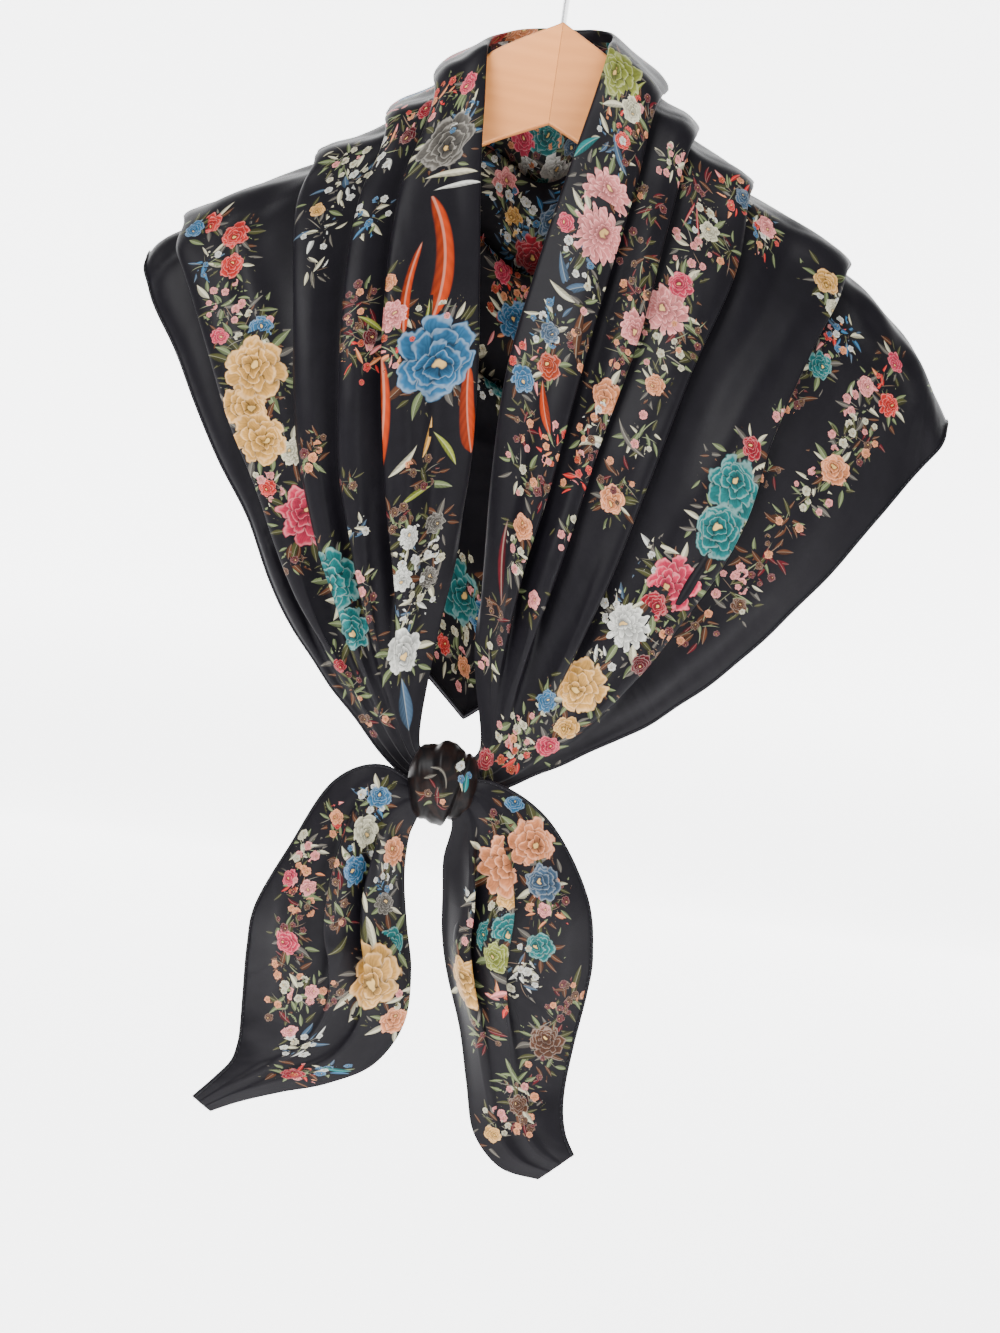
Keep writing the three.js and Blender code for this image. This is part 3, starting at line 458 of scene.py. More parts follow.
class ClothSizes(bpy.types.PropertyGroup):
    pleat_radius: setting("Pleat radius", "Radius of a pleat's turn, mm", 2.2, min=0.5)
    neck_radius: setting("Neck edge radius", "Radius of the turned neck edge, mm", 1.7, min=0.5)
    neck_return: setting("Neck edge return", "How far that edge runs back behind the cloth, mm", 6.0)
    open_width: setting("Open width", "A section this narrow has no turned neck edge, mm", 70.0)
    turned_width: setting("Turned width", "A section this wide has it turned right back, mm", 150.0)
    crest_room: setting(
        "Room for a pleat", "Sections with less width for each pleat are pressed together, mm", 14.0)
    gentle_turn: setting(
        "Gentle turn", "Cloth that turns by less than this does so on a larger radius", 1.2,
        subtype="ANGLE", unit="ROTATION")
    mesh_pitch: setting("Mesh pitch", "Length of the fronts' mesh cells, mm", 1.7, min=0.5)
    back_pitch: setting("Back pitch", "Length of the back's mesh cells, mm", 1.95, min=0.5)
    tail_pitch: setting("Tail pitch", "Length of the tails' mesh cells, mm", 1.2, min=0.5)


def table(columns, rows):
    return [dict(zip(columns, row)) for row in rows]


def smooth(x, low, high):
    t = np.clip((x - low) / (high - low), 0, 1)
    return t * t * (3 - 2 * t)


# By how much the neck edge turns at least, where the cloth is pressed together, in radians.
LEAST_TURN = 0.06


class Drape:
    """A stretch of cloth laid through a table of sections."""

    def __init__(self, rows, columns, outward, sizes, over_shoulder=True):
        self.rows = np.array(rows, float)
        self.bow, self.sway = columns.index("bow"), columns.index("sway")
        self.turn, self.tuck = columns.index("turn"), columns.index("tuck")
        self.crests = slice(self.sway + 1, self.turn)
        self.outward = outward
        self.sizes = sizes
        self.over_shoulder = over_shoulder

    def read(self, s):
        last = len(self.rows) - 1
        i = min(int(math.floor(s)), last - 1)
        t = s - i
        p, q, r, w = (self.rows[min(max(k, 0), last)] for k in (i - 1, i, i + 1, i + 2))
        bend = 2 * p - 5 * q + 4 * r - w
        twist = 3 * (q - r) + w - p
        return q + 0.5 * t * (r - p + t * (bend + t * twist))

    def profile(self, pressed_width, crests, turn, tuck):
        """The control points of one pleated section, as across and out of the cloth."""
        z = self.sizes
        width = max(pressed_width, z.crest_room * (len(crests) + 1))
        turned = float(smooth(width, z.open_width, z.turned_width))
        open_by = LEAST_TURN + (math.pi - LEAST_TURN) * turned
        neck = z.neck_radius * max(1, z.gentle_turn / open_by)
        start = min(z.neck_radius, 0.1 * width)
        fold, middle, end = turn_points((start, -neck), neck, 0, -open_by)
        edge = z.neck_return * open_by / math.pi + 0.5 * start
        points = [
            (end[0] - run * edge * math.cos(open_by), end[1] - run * edge * math.sin(open_by))
            for run in (1, 0.5, 0)
        ] + [middle, fold]
        angle = math.radians(turn)
        radius = z.pleat_radius * max(1, z.gentle_turn / angle)
        lift = 2 * radius * (1 - math.cos(angle)) + tuck * math.sin(angle)
        easing = z.pleat_radius * (0.3 + 0.7 * angle / math.pi)
        overlap = tuck * max(0, -math.cos(angle)) + 2 * easing
        free = start
        for share in crests:
            crest = share * width - radius * math.sin(min(angle, math.pi / 2))
            to = crest - 1.5 * easing
            over = max(crest - overlap, 0.4 * free + 0.6 * to)
            points += [((free + over) / 2, 0.45 * lift), (over, 0.9 * lift), ((over + to) / 2, lift)]
            top = turn_points((crest, lift - radius), radius, 0, angle)
            foot = (top[2][0] + tuck * math.cos(angle), top[2][1] - tuck * math.sin(angle))
            hub = (foot[0] + radius * math.sin(angle), foot[1] + radius * math.cos(angle))
            free = max(share * width, hub[0]) + easing
            points += top + turn_points(hub, radius, math.pi + angle, math.pi) + [(free, 0.03 * lift)]
        points += [((2 * free + width) / 3, 0.25 * lift), ((free + 3 * width) / 4, 0.3 * lift), (width, 0)]
        return np.array(points) * (pressed_width / width, 1)

    def line(self, s, q):
        """Points of the cloth at one station, for places q across the control points."""
        row, before, after = (self.read(at) for at in (s, s - 0.05, s + 0.05))
        start, across = row[IN], row[OUT] - row[IN]
        width = np.linalg.norm(across)
        across = across / width
        section = self.profile(width, row[self.crests], row[self.turn], row[self.tuck])
        x, n = bspline(section, q).T
        share = np.clip(x / width, 0, 1)
        in_along, out_along = after[IN] - before[IN], after[OUT] - before[OUT]
        along = in_along + (out_along - in_along) * share[:, None]
        out = unit(np.cross(across, along)) * self.outward
        swell_way = out.copy()
        if self.over_shoulder:
            swell_way[:, 1] *= 1 - smooth(s, 6, 8.4) * (1 - smooth(s, 11.6, 13.6))
        swell = row[self.bow] * np.sin(math.pi * share) + row[self.sway] * np.sin(FULL_TURN * share)
        points = start + across * x[:, None] + out * n[:, None] + unit(swell_way) * swell[:, None]
        return points, share, width


def turn_points(centre, radius, start, end):
    """Points round a turn of the cloth. The middle one stands out, as the spline pulls it in."""
    reach = radius * (1 + abs(end - start) / (4 * math.pi))
    steps = ((start, radius), ((start + end) / 2, reach), (end, radius))
    return [(centre[0] + r * math.sin(a), centre[1] + r * math.cos(a)) for a, r in steps]


def bspline(points, q):
    ends = np.vstack((2 * points[0] - points[1], points, 2 * points[-1] - points[-2]))
    i = np.minimum(np.floor(q).astype(int), len(points) - 2)
    t = (q - i)[:, None]
    weights = ((1 - t) ** 3, 3 * t**3 - 6 * t**2 + 4, -3 * t**3 + 3 * t**2 + 3 * t + 1, t**3)
    return sum(w * ends[i + k] for k, w in enumerate(weights)) / 6


def unit(v):
    return v / np.maximum(np.linalg.norm(v, axis=-1, keepdims=True), 1e-12)


def join_at_back(left, right):
    """Past the middle of the back the cloth runs on into the other half: neck edge and pleats
    run level there, and the hem turns a corner."""
    in_z, out_z = ENDS.index("in_z"), ENDS.index("out_z")
    crests = slice(SECTION_COLUMNS.index("a"), SECTION_COLUMNS.index("turn"))

    def beyond(rows, others):
        before, middle = rows[-2], rows[-1]
        following = others[-2].copy()
        following[OUT] = 2 * middle[OUT] - before[OUT]
        slope = (middle[out_z] - before[out_z]) / (middle[out_z] - middle[in_z])
        following[crests] = before[crests] - 2 * slope * middle[crests]
        return following

    left, right = np.array(left, float), np.array(right, float)
    return np.vstack((left, beyond(left, right))), np.vstack((right, beyond(right, left)))


# How many control points a section has: for its two edges, and for each pleat.
EDGE_CONTROLS, PLEAT_CONTROLS = 8, 10


def station_list(drape, start, end, pitch):
    """Stations about one pitch apart along the longer of the two edges."""
    fine = np.linspace(start, end, 400)
    steps = np.diff(np.array([drape.read(s) for s in fine]), axis=0)
    run = np.maximum(np.linalg.norm(steps[:, IN], axis=1), np.linalg.norm(steps[:, OUT], axis=1))
    length = np.r_[0, np.cumsum(run)]
    count = max(2, round(length[-1] / pitch))
    return np.interp(np.linspace(0, length[-1], count + 1), length, fine)


def place_list(drape, s, pitch):
    """Places across the control points, about one pitch apart at station s."""
    controls = EDGE_CONTROLS + PLEAT_CONTROLS * (drape.turn - drape.sway - 1)
    fine = np.linspace(0, controls - 1, 40 * controls)
    points, _, _ = drape.line(s, fine)
    length = np.r_[0, np.cumsum(np.linalg.norm(np.diff(points, axis=0), axis=1))]
    count = round(length[-1] / pitch)
    return np.interp(np.linspace(0, length[-1], count + 1), length, fine)


# Sections narrower than this have lower folds. The cloth's own unevenness. Millimetres.
FULL_FOLD_WIDTH = 90
RIPPLES, RIPPLE_HEIGHT = 5, 0.28


def ripple(s, share, width, name):
    """How far the hand-pressed folds and the cloth's own unevenness lift it, in millimetres."""
    lift = np.zeros_like(share)
    for fold in table(CREASE_COLUMNS, CREASES[name]):
        run = (s - fold["from_s"]) / (fold["to_s"] - fold["from_s"])
        if not 0 < run < 1:
            continue
        middle = fold["across_from"] + (fold["across_to"] - fold["across_from"]) * run
        swell = math.sin(math.pi * run) ** 0.7
        wide = min(fold["wide"], 0.09 * width)
        high = fold["high"] * min(1, width / FULL_FOLD_WIDTH) * swell
        lift += high * np.exp(-(((share - middle) * width / wide) ** 2))
    dice = random.Random(FOLD_SEEDS[name])
    for _ in range(RIPPLES):
        pitch, waves, phase = dice.uniform(35, 90), dice.uniform(0.25, 0.8), dice.uniform(0, FULL_TURN)
        lift += RIPPLE_HEIGHT * np.sin(FULL_TURN * share * width / pitch + waves * s * 2 + phase)
    return lift


def cloth_grid(drape, stations, places, name):
    """Points and outward directions of a stretch of cloth, as grids of stations by places. One
    row more at each end sets the outward directions there, so that stretches join smoothly."""
    padded = np.r_[2 * stations[0] - stations[1], stations, 2 * stations[-1] - stations[-2]]
    rows = []
    for s in padded:
        rows.append(drape.line(s, places) + (s,))
    points = np.array([row[0] for row in rows])
    out = grid_normals(points) * drape.outward
    lifts = np.array([ripple(s, share, width, name) for _, share, width, s in rows])
    points = points + out * lifts[..., None]
    out = grid_normals(points) * drape.outward
    return points[1:-1], out[1:-1]


def grid_normals(points):
    """The direction square to a grid of points, at each of them."""
    along, across = np.gradient(points, axis=0), np.gradient(points, axis=1)
    return unit(np.cross(across, along))


# The print's layers, from the lowest up. Each mesh cell holds one motif in each layer.
LAYERS = ("leaf_low", "leaf_high", "leaf_long", "bloom_low", "bloom_high")
LAYER_GROUPS = ("Leaf", "Leaf", "Leaf", "Blossom", "Blossom")
# What a cell without a motif holds: a place well outside one, and a number of petals.
CLEAR_OF_MOTIF = 9.0
NO_STYLE = 5.5
# A cell belongs to a motif when its middle lies within EDGE_REACH, as a share of the motif's
# size, and CELL_REACH millimetres more. Cells are looked at within WINDOW_REACH of the size and
# WINDOW_MARGIN millimetres more.
CELL_REACH, EDGE_REACH = 1.3, 1.08
WINDOW_REACH, WINDOW_MARGIN = 1.3, 4

# Ink in silk is deeper and weaker than on a display. INK_DEPTH raises its contrast.
INK_DEPTH, INK_STRENGTH = 1.45, 0.9

# A blossom's petals end a little inside its motif's size, and a leaf's cells reach past its blade.
BLOOM_SCALE, LEAF_SCALE = 1.07, 1.15

# A place in the picture is looked for within this many pixels, on the part nearest the camera.
FIND_REACH = 6


def camera_place():
    """Where the camera stands, as a matrix."""
    rise, roll = math.radians(CAMERA_RISE), math.radians(CAMERA_ROLL)
    way = Vector((0, -math.cos(rise), math.sin(rise)))
    look = (-way).to_track_quat("-Z", "Y").to_matrix().to_4x4()
    stand = Vector(CAMERA_AIM) + way * CAMERA_AWAY
    return Matrix.Translation(stand) @ look @ Matrix.Rotation(roll, 4, "Z")


def ink(name):
    """A printing ink as a linear colour, deepened as ink in silk is."""
    return [INK_STRENGTH * ((c / 255 + 0.055) / 1.055) ** (2.4 * INK_DEPTH) for c in INKS[name]]


class Cloth:
    """A stretch of cloth as a grid of points, stations by places across, with its printed motifs."""

    def __init__(self, name, points, out, stations, outward):
        self.name, self.points, self.out = name, points, out
        self.stations, self.outward = stations, outward
        self.across = run_length(points, 1)
        self.along = run_length(points, 0)
        cells = (points.shape[0] - 1, points.shape[1] - 1, 4)
        self.place = {layer: np.full(cells + (3,), CLEAR_OF_MOTIF) for layer in LAYERS}
        self.ink = {layer: np.zeros(cells + (4,)) for layer in LAYERS}
        for layer in LAYERS:
            self.place[layer][..., 2] = NO_STYLE
        view = np.array(camera_place().inverted())
        seen = points * MM @ view[:3, :3].T + view[:3, 3]
        focus = PICTURE_HIGH * LENS / SENSOR
        self.depth = -seen[..., 2]
        self.right = PICTURE_WIDE / 2 + focus * seen[..., 0] / self.depth
        self.down = PICTURE_HIGH / 2 - focus * seen[..., 1] / self.depth

    def find(self, right, down):
        """The grid point that shows at a place in the picture."""
        off = np.hypot(self.right - right, self.down - down)
        near = off < max(FIND_REACH, off.min() + 1)
        return np.unravel_index(np.argmin(np.where(near, self.depth + off * 1e-4, 1e3)), off.shape)

    def beside(self, i, j, across, along):
        """The grid point that lies some way across and along the cloth from another."""
        i = int(np.abs(self.along[:, j] - self.along[i, j] - along).argmin())
        return i, int(np.abs(self.across[i] - self.across[i, j] - across).argmin())

    def inside_hem(self, s, in_hem):
        """The grid point at station s that lies some way inside the hem."""
        i = int(np.abs(self.stations - s).argmin())
        return i, int(np.abs(self.across[i, -1] - self.across[i] - in_hem).argmin())

    def stamp(self, at, layer, size, turn, wide, style, colour, bend=0.0):
        """Print one motif. size: its radius or half length. wide: its half width as a share of
        that. style: what else its shader group has to know."""
        i, j = at
        du = self.across - self.across[:, j:j + 1]
        dv = np.broadcast_to((self.along[:, j] - self.along[i, j])[:, None], du.shape)
        near = WINDOW_REACH * size + WINDOW_MARGIN
        rows = np.flatnonzero(np.abs(dv[:, j]) < near)
        columns = np.flatnonzero(np.abs(du[rows]).min(axis=0) < near)
        r0, r1, c0, c1 = rows[0], rows[-1], columns[0], columns[-1]
        window = np.s_[r0:r1 + 1, c0:c1 + 1]
        x = (du[window] * math.cos(turn) + dv[window] * math.sin(turn)) / size
        y = (dv[window] * math.cos(turn) - du[window] * math.sin(turn)) / size + bend * x * x
        x, y = cell_corners(x), cell_corners(y)
        if not x.size:
            return
        off_x = np.maximum(np.abs(x.mean(axis=-1)) - CELL_REACH / size, 0)
        off_y = np.maximum(np.abs(y.mean(axis=-1)) - CELL_REACH / size, 0)
        hit = np.hypot(off_x, off_y / wide) < EDGE_REACH
        place, colours = self.place[layer][r0:r1, c0:c1], self.ink[layer][r0:r1, c0:c1]
        place[hit] = np.stack((x, y, np.full_like(x, style)), -1)[hit]
        colours[hit] = list(colour) + [1]

    def blossom(self, at, radius, petals, colour, dice):
        """Its style is its petals, and a share of 1 that makes no two alike."""
        layer = "bloom_low" if dice.random() < 0.5 else "bloom_high"
        turn, style = dice.uniform(0, FULL_TURN), petals + dice.uniform(0.1, 0.9)
        self.stamp(at, layer, radius * BLOOM_SCALE, turn, 1, style, ink(colour))

    def leaf(self, at, half, turn, wide, colour, dice, bend=0.0, layer=None):
        """Its style is its width, and 1 more than that for a long blunt blade."""
        layer = layer or dice.choice(("leaf_low", "leaf_high"))
        self.stamp(at, layer, half, turn, LEAF_SCALE * (wide % 1), wide, ink(colour), bend)

    def spray(self, at, reach, count, mix, dice):
        """Small leaves and buds scattered round a place."""
        i, j = at
        for _ in range(STEMS):
            way, half = dice.uniform(0, FULL_TURN), reach * dice.uniform(0.35, 0.6)
            spot = self.beside(i, j, half * math.cos(way), half * math.sin(way))
            colour, bend = dice.choice(STEM_INKS), dice.uniform(-0.25, 0.25)
            self.leaf(spot, half, way, STEM_WIDE, colour, dice, bend, "leaf_long")
        for _ in range(int(FULLNESS * count)):
            way, far = dice.uniform(0, FULL_TURN), reach * math.sqrt(dice.random())
            spot = self.beside(i, j, far * math.cos(way), far * math.sin(way))
            if dice.random() < LEAVES_AMONG_BUDS:
                turn = way + dice.uniform(-0.7, 0.7)
                half, wide = dice.uniform(2.8, 6.2), dice.uniform(0.2, 0.34)
                colour, bend = dice.choice(MIXES[mix]), dice.uniform(-0.15, 0.15)
                self.leaf(spot, half, turn, wide, colour, dice, bend)
            else:
                self.blossom(spot, dice.uniform(1.5, 2.8), 5, dice.choice(BUD_MIXES[mix]), dice)

    def print_motifs(self):
        """Everything that is printed on this stretch, from the lowest up."""
        dice = random.Random(PRINT_SEEDS[self.name])
        for row in table(GARLAND_COLUMNS, GARLANDS.get(self.name, ())):
            self.garland(row, dice)
        for row in table(SPRAY_COLUMNS, SPRAYS.get(self.name, ())):
            at = self.find(row["right"], row["down"])
            self.spray(at, row["reach"], row["count"], row["mix"], dice)
        for row in table(LEAF_COLUMNS, LEAVES.get(self.name, ())):
            at, turn = self.find(row["right"], row["down"]), math.radians(row["turn"])
            self.leaf(at, row["half"], turn, row["wide"], row["ink"], dice, row["bend"], "leaf_long")
        blossoms = table(BLOSSOM_COLUMNS, BLOSSOMS.get(self.name, ()))
        for row in blossoms:
            row["at"] = self.find(row["right"], row["down"])
            self.undergrowth(row["at"], row["radius"], dice)
        for row in blossoms:
            self.leaf_ring(row["at"], row["radius"], dice)
            self.blossom(row["at"], row["radius"], row["petals"], row["ink"], dice)

    def undergrowth(self, at, radius, dice):
        """Dim small leaves all round a blossom, under everything else."""
        for _ in range(int(UNDERGROWTH * radius)):
            way, far = dice.uniform(0, FULL_TURN), radius + UNDERGROWTH_REACH * dice.random()
            spot = self.beside(*at, far * math.cos(way), far * math.sin(way))
            turn, wide = way + dice.uniform(-0.9, 0.9), dice.uniform(0.22, 0.36)
            half, colour = dice.uniform(2.6, 5.2), dice.choice(DIM_INKS)
            self.leaf(spot, half, turn, wide, colour, dice, layer="leaf_low")

    def leaf_ring(self, at, radius, dice):
        """Leaves that point outward from under a blossom."""
        if radius < RING_FROM:
            return
        for _ in range(int(3 + 0.55 * radius)):
            turn, half = dice.uniform(0, FULL_TURN), dice.uniform(3.6, 4.5 + 0.22 * radius)
            far = radius * dice.uniform(0.92, 1.1) + 0.5 * half
            spot = self.beside(*at, far * math.cos(turn), far * math.sin(turn))
            colour = dice.choice(RING_INKS)
            self.leaf(spot, half, turn, dice.uniform(0.24, 0.38), colour, dice, dice.uniform(-0.15, 0.15))

    def garland(self, row, dice):
        """Blossoms and sprays in a row, some way inside the hem."""
        shown = (self.stations >= row["from_s"]) & (self.stations <= row["to_s"])
        run = run_length(self.points[shown][:, -1:], 0)[:, 0]
        for step in range(int(run[-1] / row["spacing"])):
            s = np.interp((step + dice.uniform(0.3, 0.7)) * row["spacing"], run, self.stations[shown])
            at = self.inside_hem(s, row["in_hem"] + dice.uniform(-0.15, 0.15) * row["spacing"])
            radius = dice.uniform(row["low"], row["high"])
            self.spray(at, radius + GARLAND_REACH, int(radius) + GARLAND_LEAVES, row["mix"], dice)
            self.leaf_ring(at, radius, dice)
            self.blossom(at, radius, dice.choice(GARLAND_PETALS), dice.choice(row["inks"]), dice)

    def build(self, material):
        """The mesh, which carries every motif's place and ink at the corners of its cells."""
        rows, columns = self.points.shape[:2]
        index = np.arange(rows * columns).reshape(rows, columns)
        quads = cell_corners(index).reshape(-1, 4)
        turned = slice(None, None, -1 if self.outward < 0 else 1)
        mesh = bpy.data.meshes.new("silk_" + self.name)
        mesh.from_pydata((self.points.reshape(-1, 3) * MM).tolist(), [], quads[:, turned].tolist())
        mesh.polygons.foreach_set("use_smooth", [True] * len(quads))
        uv = np.stack((cell_corners(self.across), cell_corners(self.along)), -1)[:, :, turned]
        layer = mesh.uv_layers.new(name="cloth")
        layer.data.foreach_set("uv", (uv / 1000).ravel())
        for name in LAYERS:
            place = mesh.attributes.new(name, "FLOAT_VECTOR", "CORNER")
            place.data.foreach_set("vector", self.place[name][:, :, turned].ravel())
            colour = mesh.attributes.new(name + "_ink", "FLOAT_COLOR", "CORNER")
            colour.data.foreach_set("color", self.ink[name][:, :, turned].ravel())
        mesh.normals_split_custom_set_from_vertices(self.out.reshape(-1, 3).tolist())
        return add_object("silk_" + self.name, mesh, material)


def run_length(points, axis):
    """How far each grid point lies along its row or column, measured on the cloth."""
    steps = np.linalg.norm(np.diff(points, axis=axis), axis=-1)
    start = np.zeros_like(np.take(steps, [0], axis=axis))
    return np.concatenate((start, np.cumsum(steps, axis=axis)), axis=axis)


def cell_corners(grid):
    """The values at the four corners of each cell of a grid."""
    return np.stack((grid[:-1, :-1], grid[:-1, 1:], grid[1:, 1:], grid[1:, :-1]), -1)


def add_object(name, mesh, material):
    piece = bpy.data.objects.new(name, mesh)
    bpy.context.scene.collection.objects.link(piece)
    mesh.materials.append(material)
    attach(piece, "root")
    return piece


# A Mix node's sockets for colours: its share and both colours, and the result.
MIX_SOCKETS, MIX_RESULT = (0, 6, 7), 2


class Bench:
    """Lays nodes in one tree."""

    def __init__(self, tree):
        self.tree = tree

    def node(self, kind, inputs=(), **settings):
        node = self.tree.nodes.new(kind)
        for key, value in settings.items():
            setattr(node, key, value)
        for key, value in dict(inputs).items():
            self.feed(node.inputs[key], value)
        return node

    def feed(self, socket, value):
        if isinstance(value, bpy.types.NodeSocket):
            self.tree.links.new(value, socket)
        else:
            socket.default_value = value

    def maths(self, operation, *values):
        node = self.node("ShaderNodeMath", operation=operation)
        for socket, value in zip(node.inputs, values):
            self.feed(socket, value)
        return node.outputs[0]

    def step(self, value, low, high):
        node = self.node("ShaderNodeMapRange", interpolation_type="SMOOTHSTEP")
        for key, item in (("Value", value), ("From Min", low), ("From Max", high)):
            self.feed(node.inputs[key], item)
        return node.outputs["Result"]

    def blend(self, share, first, second, mode="MIX"):
        node = self.node("ShaderNodeMix", data_type="RGBA", blend_type=mode)
        for key, value in zip(MIX_SOCKETS, (share, first, second)):
            self.feed(node.inputs[key], value)
        return node.outputs[MIX_RESULT]

    def shaded(self, colour, light):
        """A colour times a grey value."""
        grey = self.node("ShaderNodeCombineColor", {0: light, 1: light, 2: light}).outputs[0]
        return self.blend(1.0, colour, grey, "MULTIPLY")

    def noise(self, where, scale, detail, distortion=0.0, result="Fac"):
        inputs = {"Vector": where, "Scale": scale, "Detail": detail, "Distortion": distortion}
        return self.node("ShaderNodeTexNoise", inputs).outputs[result]

    def group(self, name, **inputs):
        node = self.node("ShaderNodeGroup", node_tree=bpy.data.node_groups[name])
        for key, value in inputs.items():
            self.feed(node.inputs[key.replace("_", " ")], value)
        return node.outputs


def new_group(name, takes, gives):
    """An empty shader group, with its input and output nodes."""
    tree = bpy.data.node_groups.new(name, "ShaderNodeTree")
    for label, kind, value in takes:
        socket = tree.interface.new_socket(name=label, in_out="INPUT", socket_type="NodeSocket" + kind)
        if value is not None:
            socket.default_value = value
    for label, kind in gives:
        tree.interface.new_socket(name=label, in_out="OUTPUT", socket_type="NodeSocket" + kind)
    bench = Bench(tree)
    return bench, bench.node("NodeGroupInput").outputs, bench.node("NodeGroupOutput").inputs


def group_petal_ring():
    """One ring of petals laid over what is already painted."""
    bench, takes, gives = new_group(
        "Petal ring",
        (("Across", "Float", 0), ("Along", "Float", 0), ("Size", "Float", 1),
         ("Petals", "Float", 6), ("Phase", "Float", 0), ("Ink", "Color", None),
         ("Under", "Color", None), ("Cover", "Float", 0)),
        (("Color", "Color"), ("Cover", "Float")))
    x, y = takes["Across"], takes["Along"]
    squares = bench.maths("ADD", bench.maths("MULTIPLY", x, x), bench.maths("MULTIPLY", y, y))
    radius = bench.maths("SQRT", squares)
    angle = bench.maths("ARCTAN2", y, x)
    swing = bench.maths("MULTIPLY_ADD", angle, bench.maths("MULTIPLY", takes["Petals"], 0.5), takes["Phase"])
    open_share = bench.maths("ABSOLUTE", bench.maths("COSINE", swing))
    notch = bench.maths("MULTIPLY_ADD", takes["Petals"], 0.024, 0.10)
    between = bench.maths("SUBTRACT", 1.0, bench.maths("POWER", open_share, 0.5))
    scallop = bench.maths("MULTIPLY", notch, between)
    edge = bench.maths("MULTIPLY", takes["Size"], bench.maths("SUBTRACT", 1.0, scallop))
    reach = bench.maths("DIVIDE", radius, edge)
    inside = bench.step(reach, 1.0, 0.94)
    rim = bench.maths("MULTIPLY", bench.step(reach, 0.84, 0.94), 0.42)
    depth = bench.maths("MULTIPLY_ADD", bench.maths("POWER", reach, 2.2), 0.95, 0.14)
    parting = bench.maths("MULTIPLY_ADD", bench.step(open_share, 0.0, 0.45), 0.75, 0.25)
    wave = bench.maths("SINE", bench.maths("MULTIPLY", swing, 11.0))
    streaks = bench.maths("MULTIPLY_ADD", wave, 0.1, 0.95)
    light = bench.maths("MULTIPLY", bench.maths("MULTIPLY", depth, parting), streaks)
    petal = bench.blend(rim, bench.shaded(takes["Ink"], light), bench.blend(0.3, takes["Ink"], PETAL_RIM))
    bench.feed(gives["Color"], bench.blend(inside, takes["Under"], petal))
    bench.feed(gives["Cover"], bench.maths("MAXIMUM", takes["Cover"], inside))


# A motif's group takes its place and ink, and gives its colour and where it covers the cloth.
MOTIF_TAKES = (("Place", "Vector", None), ("Ink", "Color", None))
MOTIF_GIVES = (("Color", "Color"), ("Cover", "Float"))

# A blossom's rings of petals: size, how many petals fewer, turn, and how far off its middle.
PETAL_RINGS = ((0.98, 0, 0.0, 0.0), (0.76, 0, 2.1, 0.10), (0.55, 1, 4.0, 0.19), (0.33, 2, 1.2, 0.24))
# How far its petals' outlines waver, as a share of its radius.
WAVER = 0.55


def group_blossom():
    """A full-blown generic blossom: uneven rings of petals over each other, round a small heart."""
    bench, takes, gives = new_group("Blossom", MOTIF_TAKES, MOTIF_GIVES)
    place = bench.node("ShaderNodeSeparateXYZ", {0: takes["Place"]}).outputs
    petals = bench.maths("FLOOR", place[2])
    seed = bench.maths("SUBTRACT", place[2], petals)
    apart = bench.maths("MULTIPLY", seed, 40.0)
    where = bench.node("ShaderNodeCombineXYZ", {0: place[0], 1: place[1], 2: apart}).outputs[0]
    waver = bench.noise(where, 2.3, 2.0, result="Color")
    waver = bench.node("ShaderNodeSeparateColor", {0: waver}).outputs
    lean = bench.maths("MULTIPLY", seed, FULL_TURN)
    lean_x, lean_y = bench.maths("COSINE", lean), bench.maths("SINE", lean)
    x = bench.maths("MULTIPLY_ADD", bench.maths("SUBTRACT", waver[0], 0.5), WAVER, place[0])
    y = bench.maths("MULTIPLY_ADD", bench.maths("SUBTRACT", waver[1], 0.5), WAVER, place[1])
    colour, cover = takes["Ink"], 0.0
    for size, fewer, turn, off in PETAL_RINGS:
        ring = bench.group(
            "Petal ring", Across=bench.maths("MULTIPLY_ADD", lean_x, off, x),
            Along=bench.maths("MULTIPLY_ADD", lean_y, off, y), Size=size,
            Petals=bench.maths("SUBTRACT", petals, float(fewer)),
            Phase=bench.maths("MULTIPLY_ADD", seed, 6.0, turn), Ink=takes["Ink"], Under=colour, Cover=cover)
        colour, cover = ring["Color"], ring["Cover"]
    innermost = PETAL_RINGS[-1][3]
    near_x = bench.maths("POWER", bench.maths("MULTIPLY_ADD", lean_x, innermost, x), 2.0)
    near_y = bench.maths("POWER", bench.maths("MULTIPLY_ADD", lean_y, innermost, y), 2.0)
    heart = bench.maths("MULTIPLY", bench.step(bench.maths("ADD", near_x, near_y), 0.016, 0.006), 0.7)
    tone = bench.maths("MULTIPLY_ADD", waver[2], 0.9, 0.5)
    bench.feed(gives["Color"], bench.shaded(bench.blend(heart, colour, BLOSSOM_HEART), tone))
    bench.feed(gives["Cover"], cover)


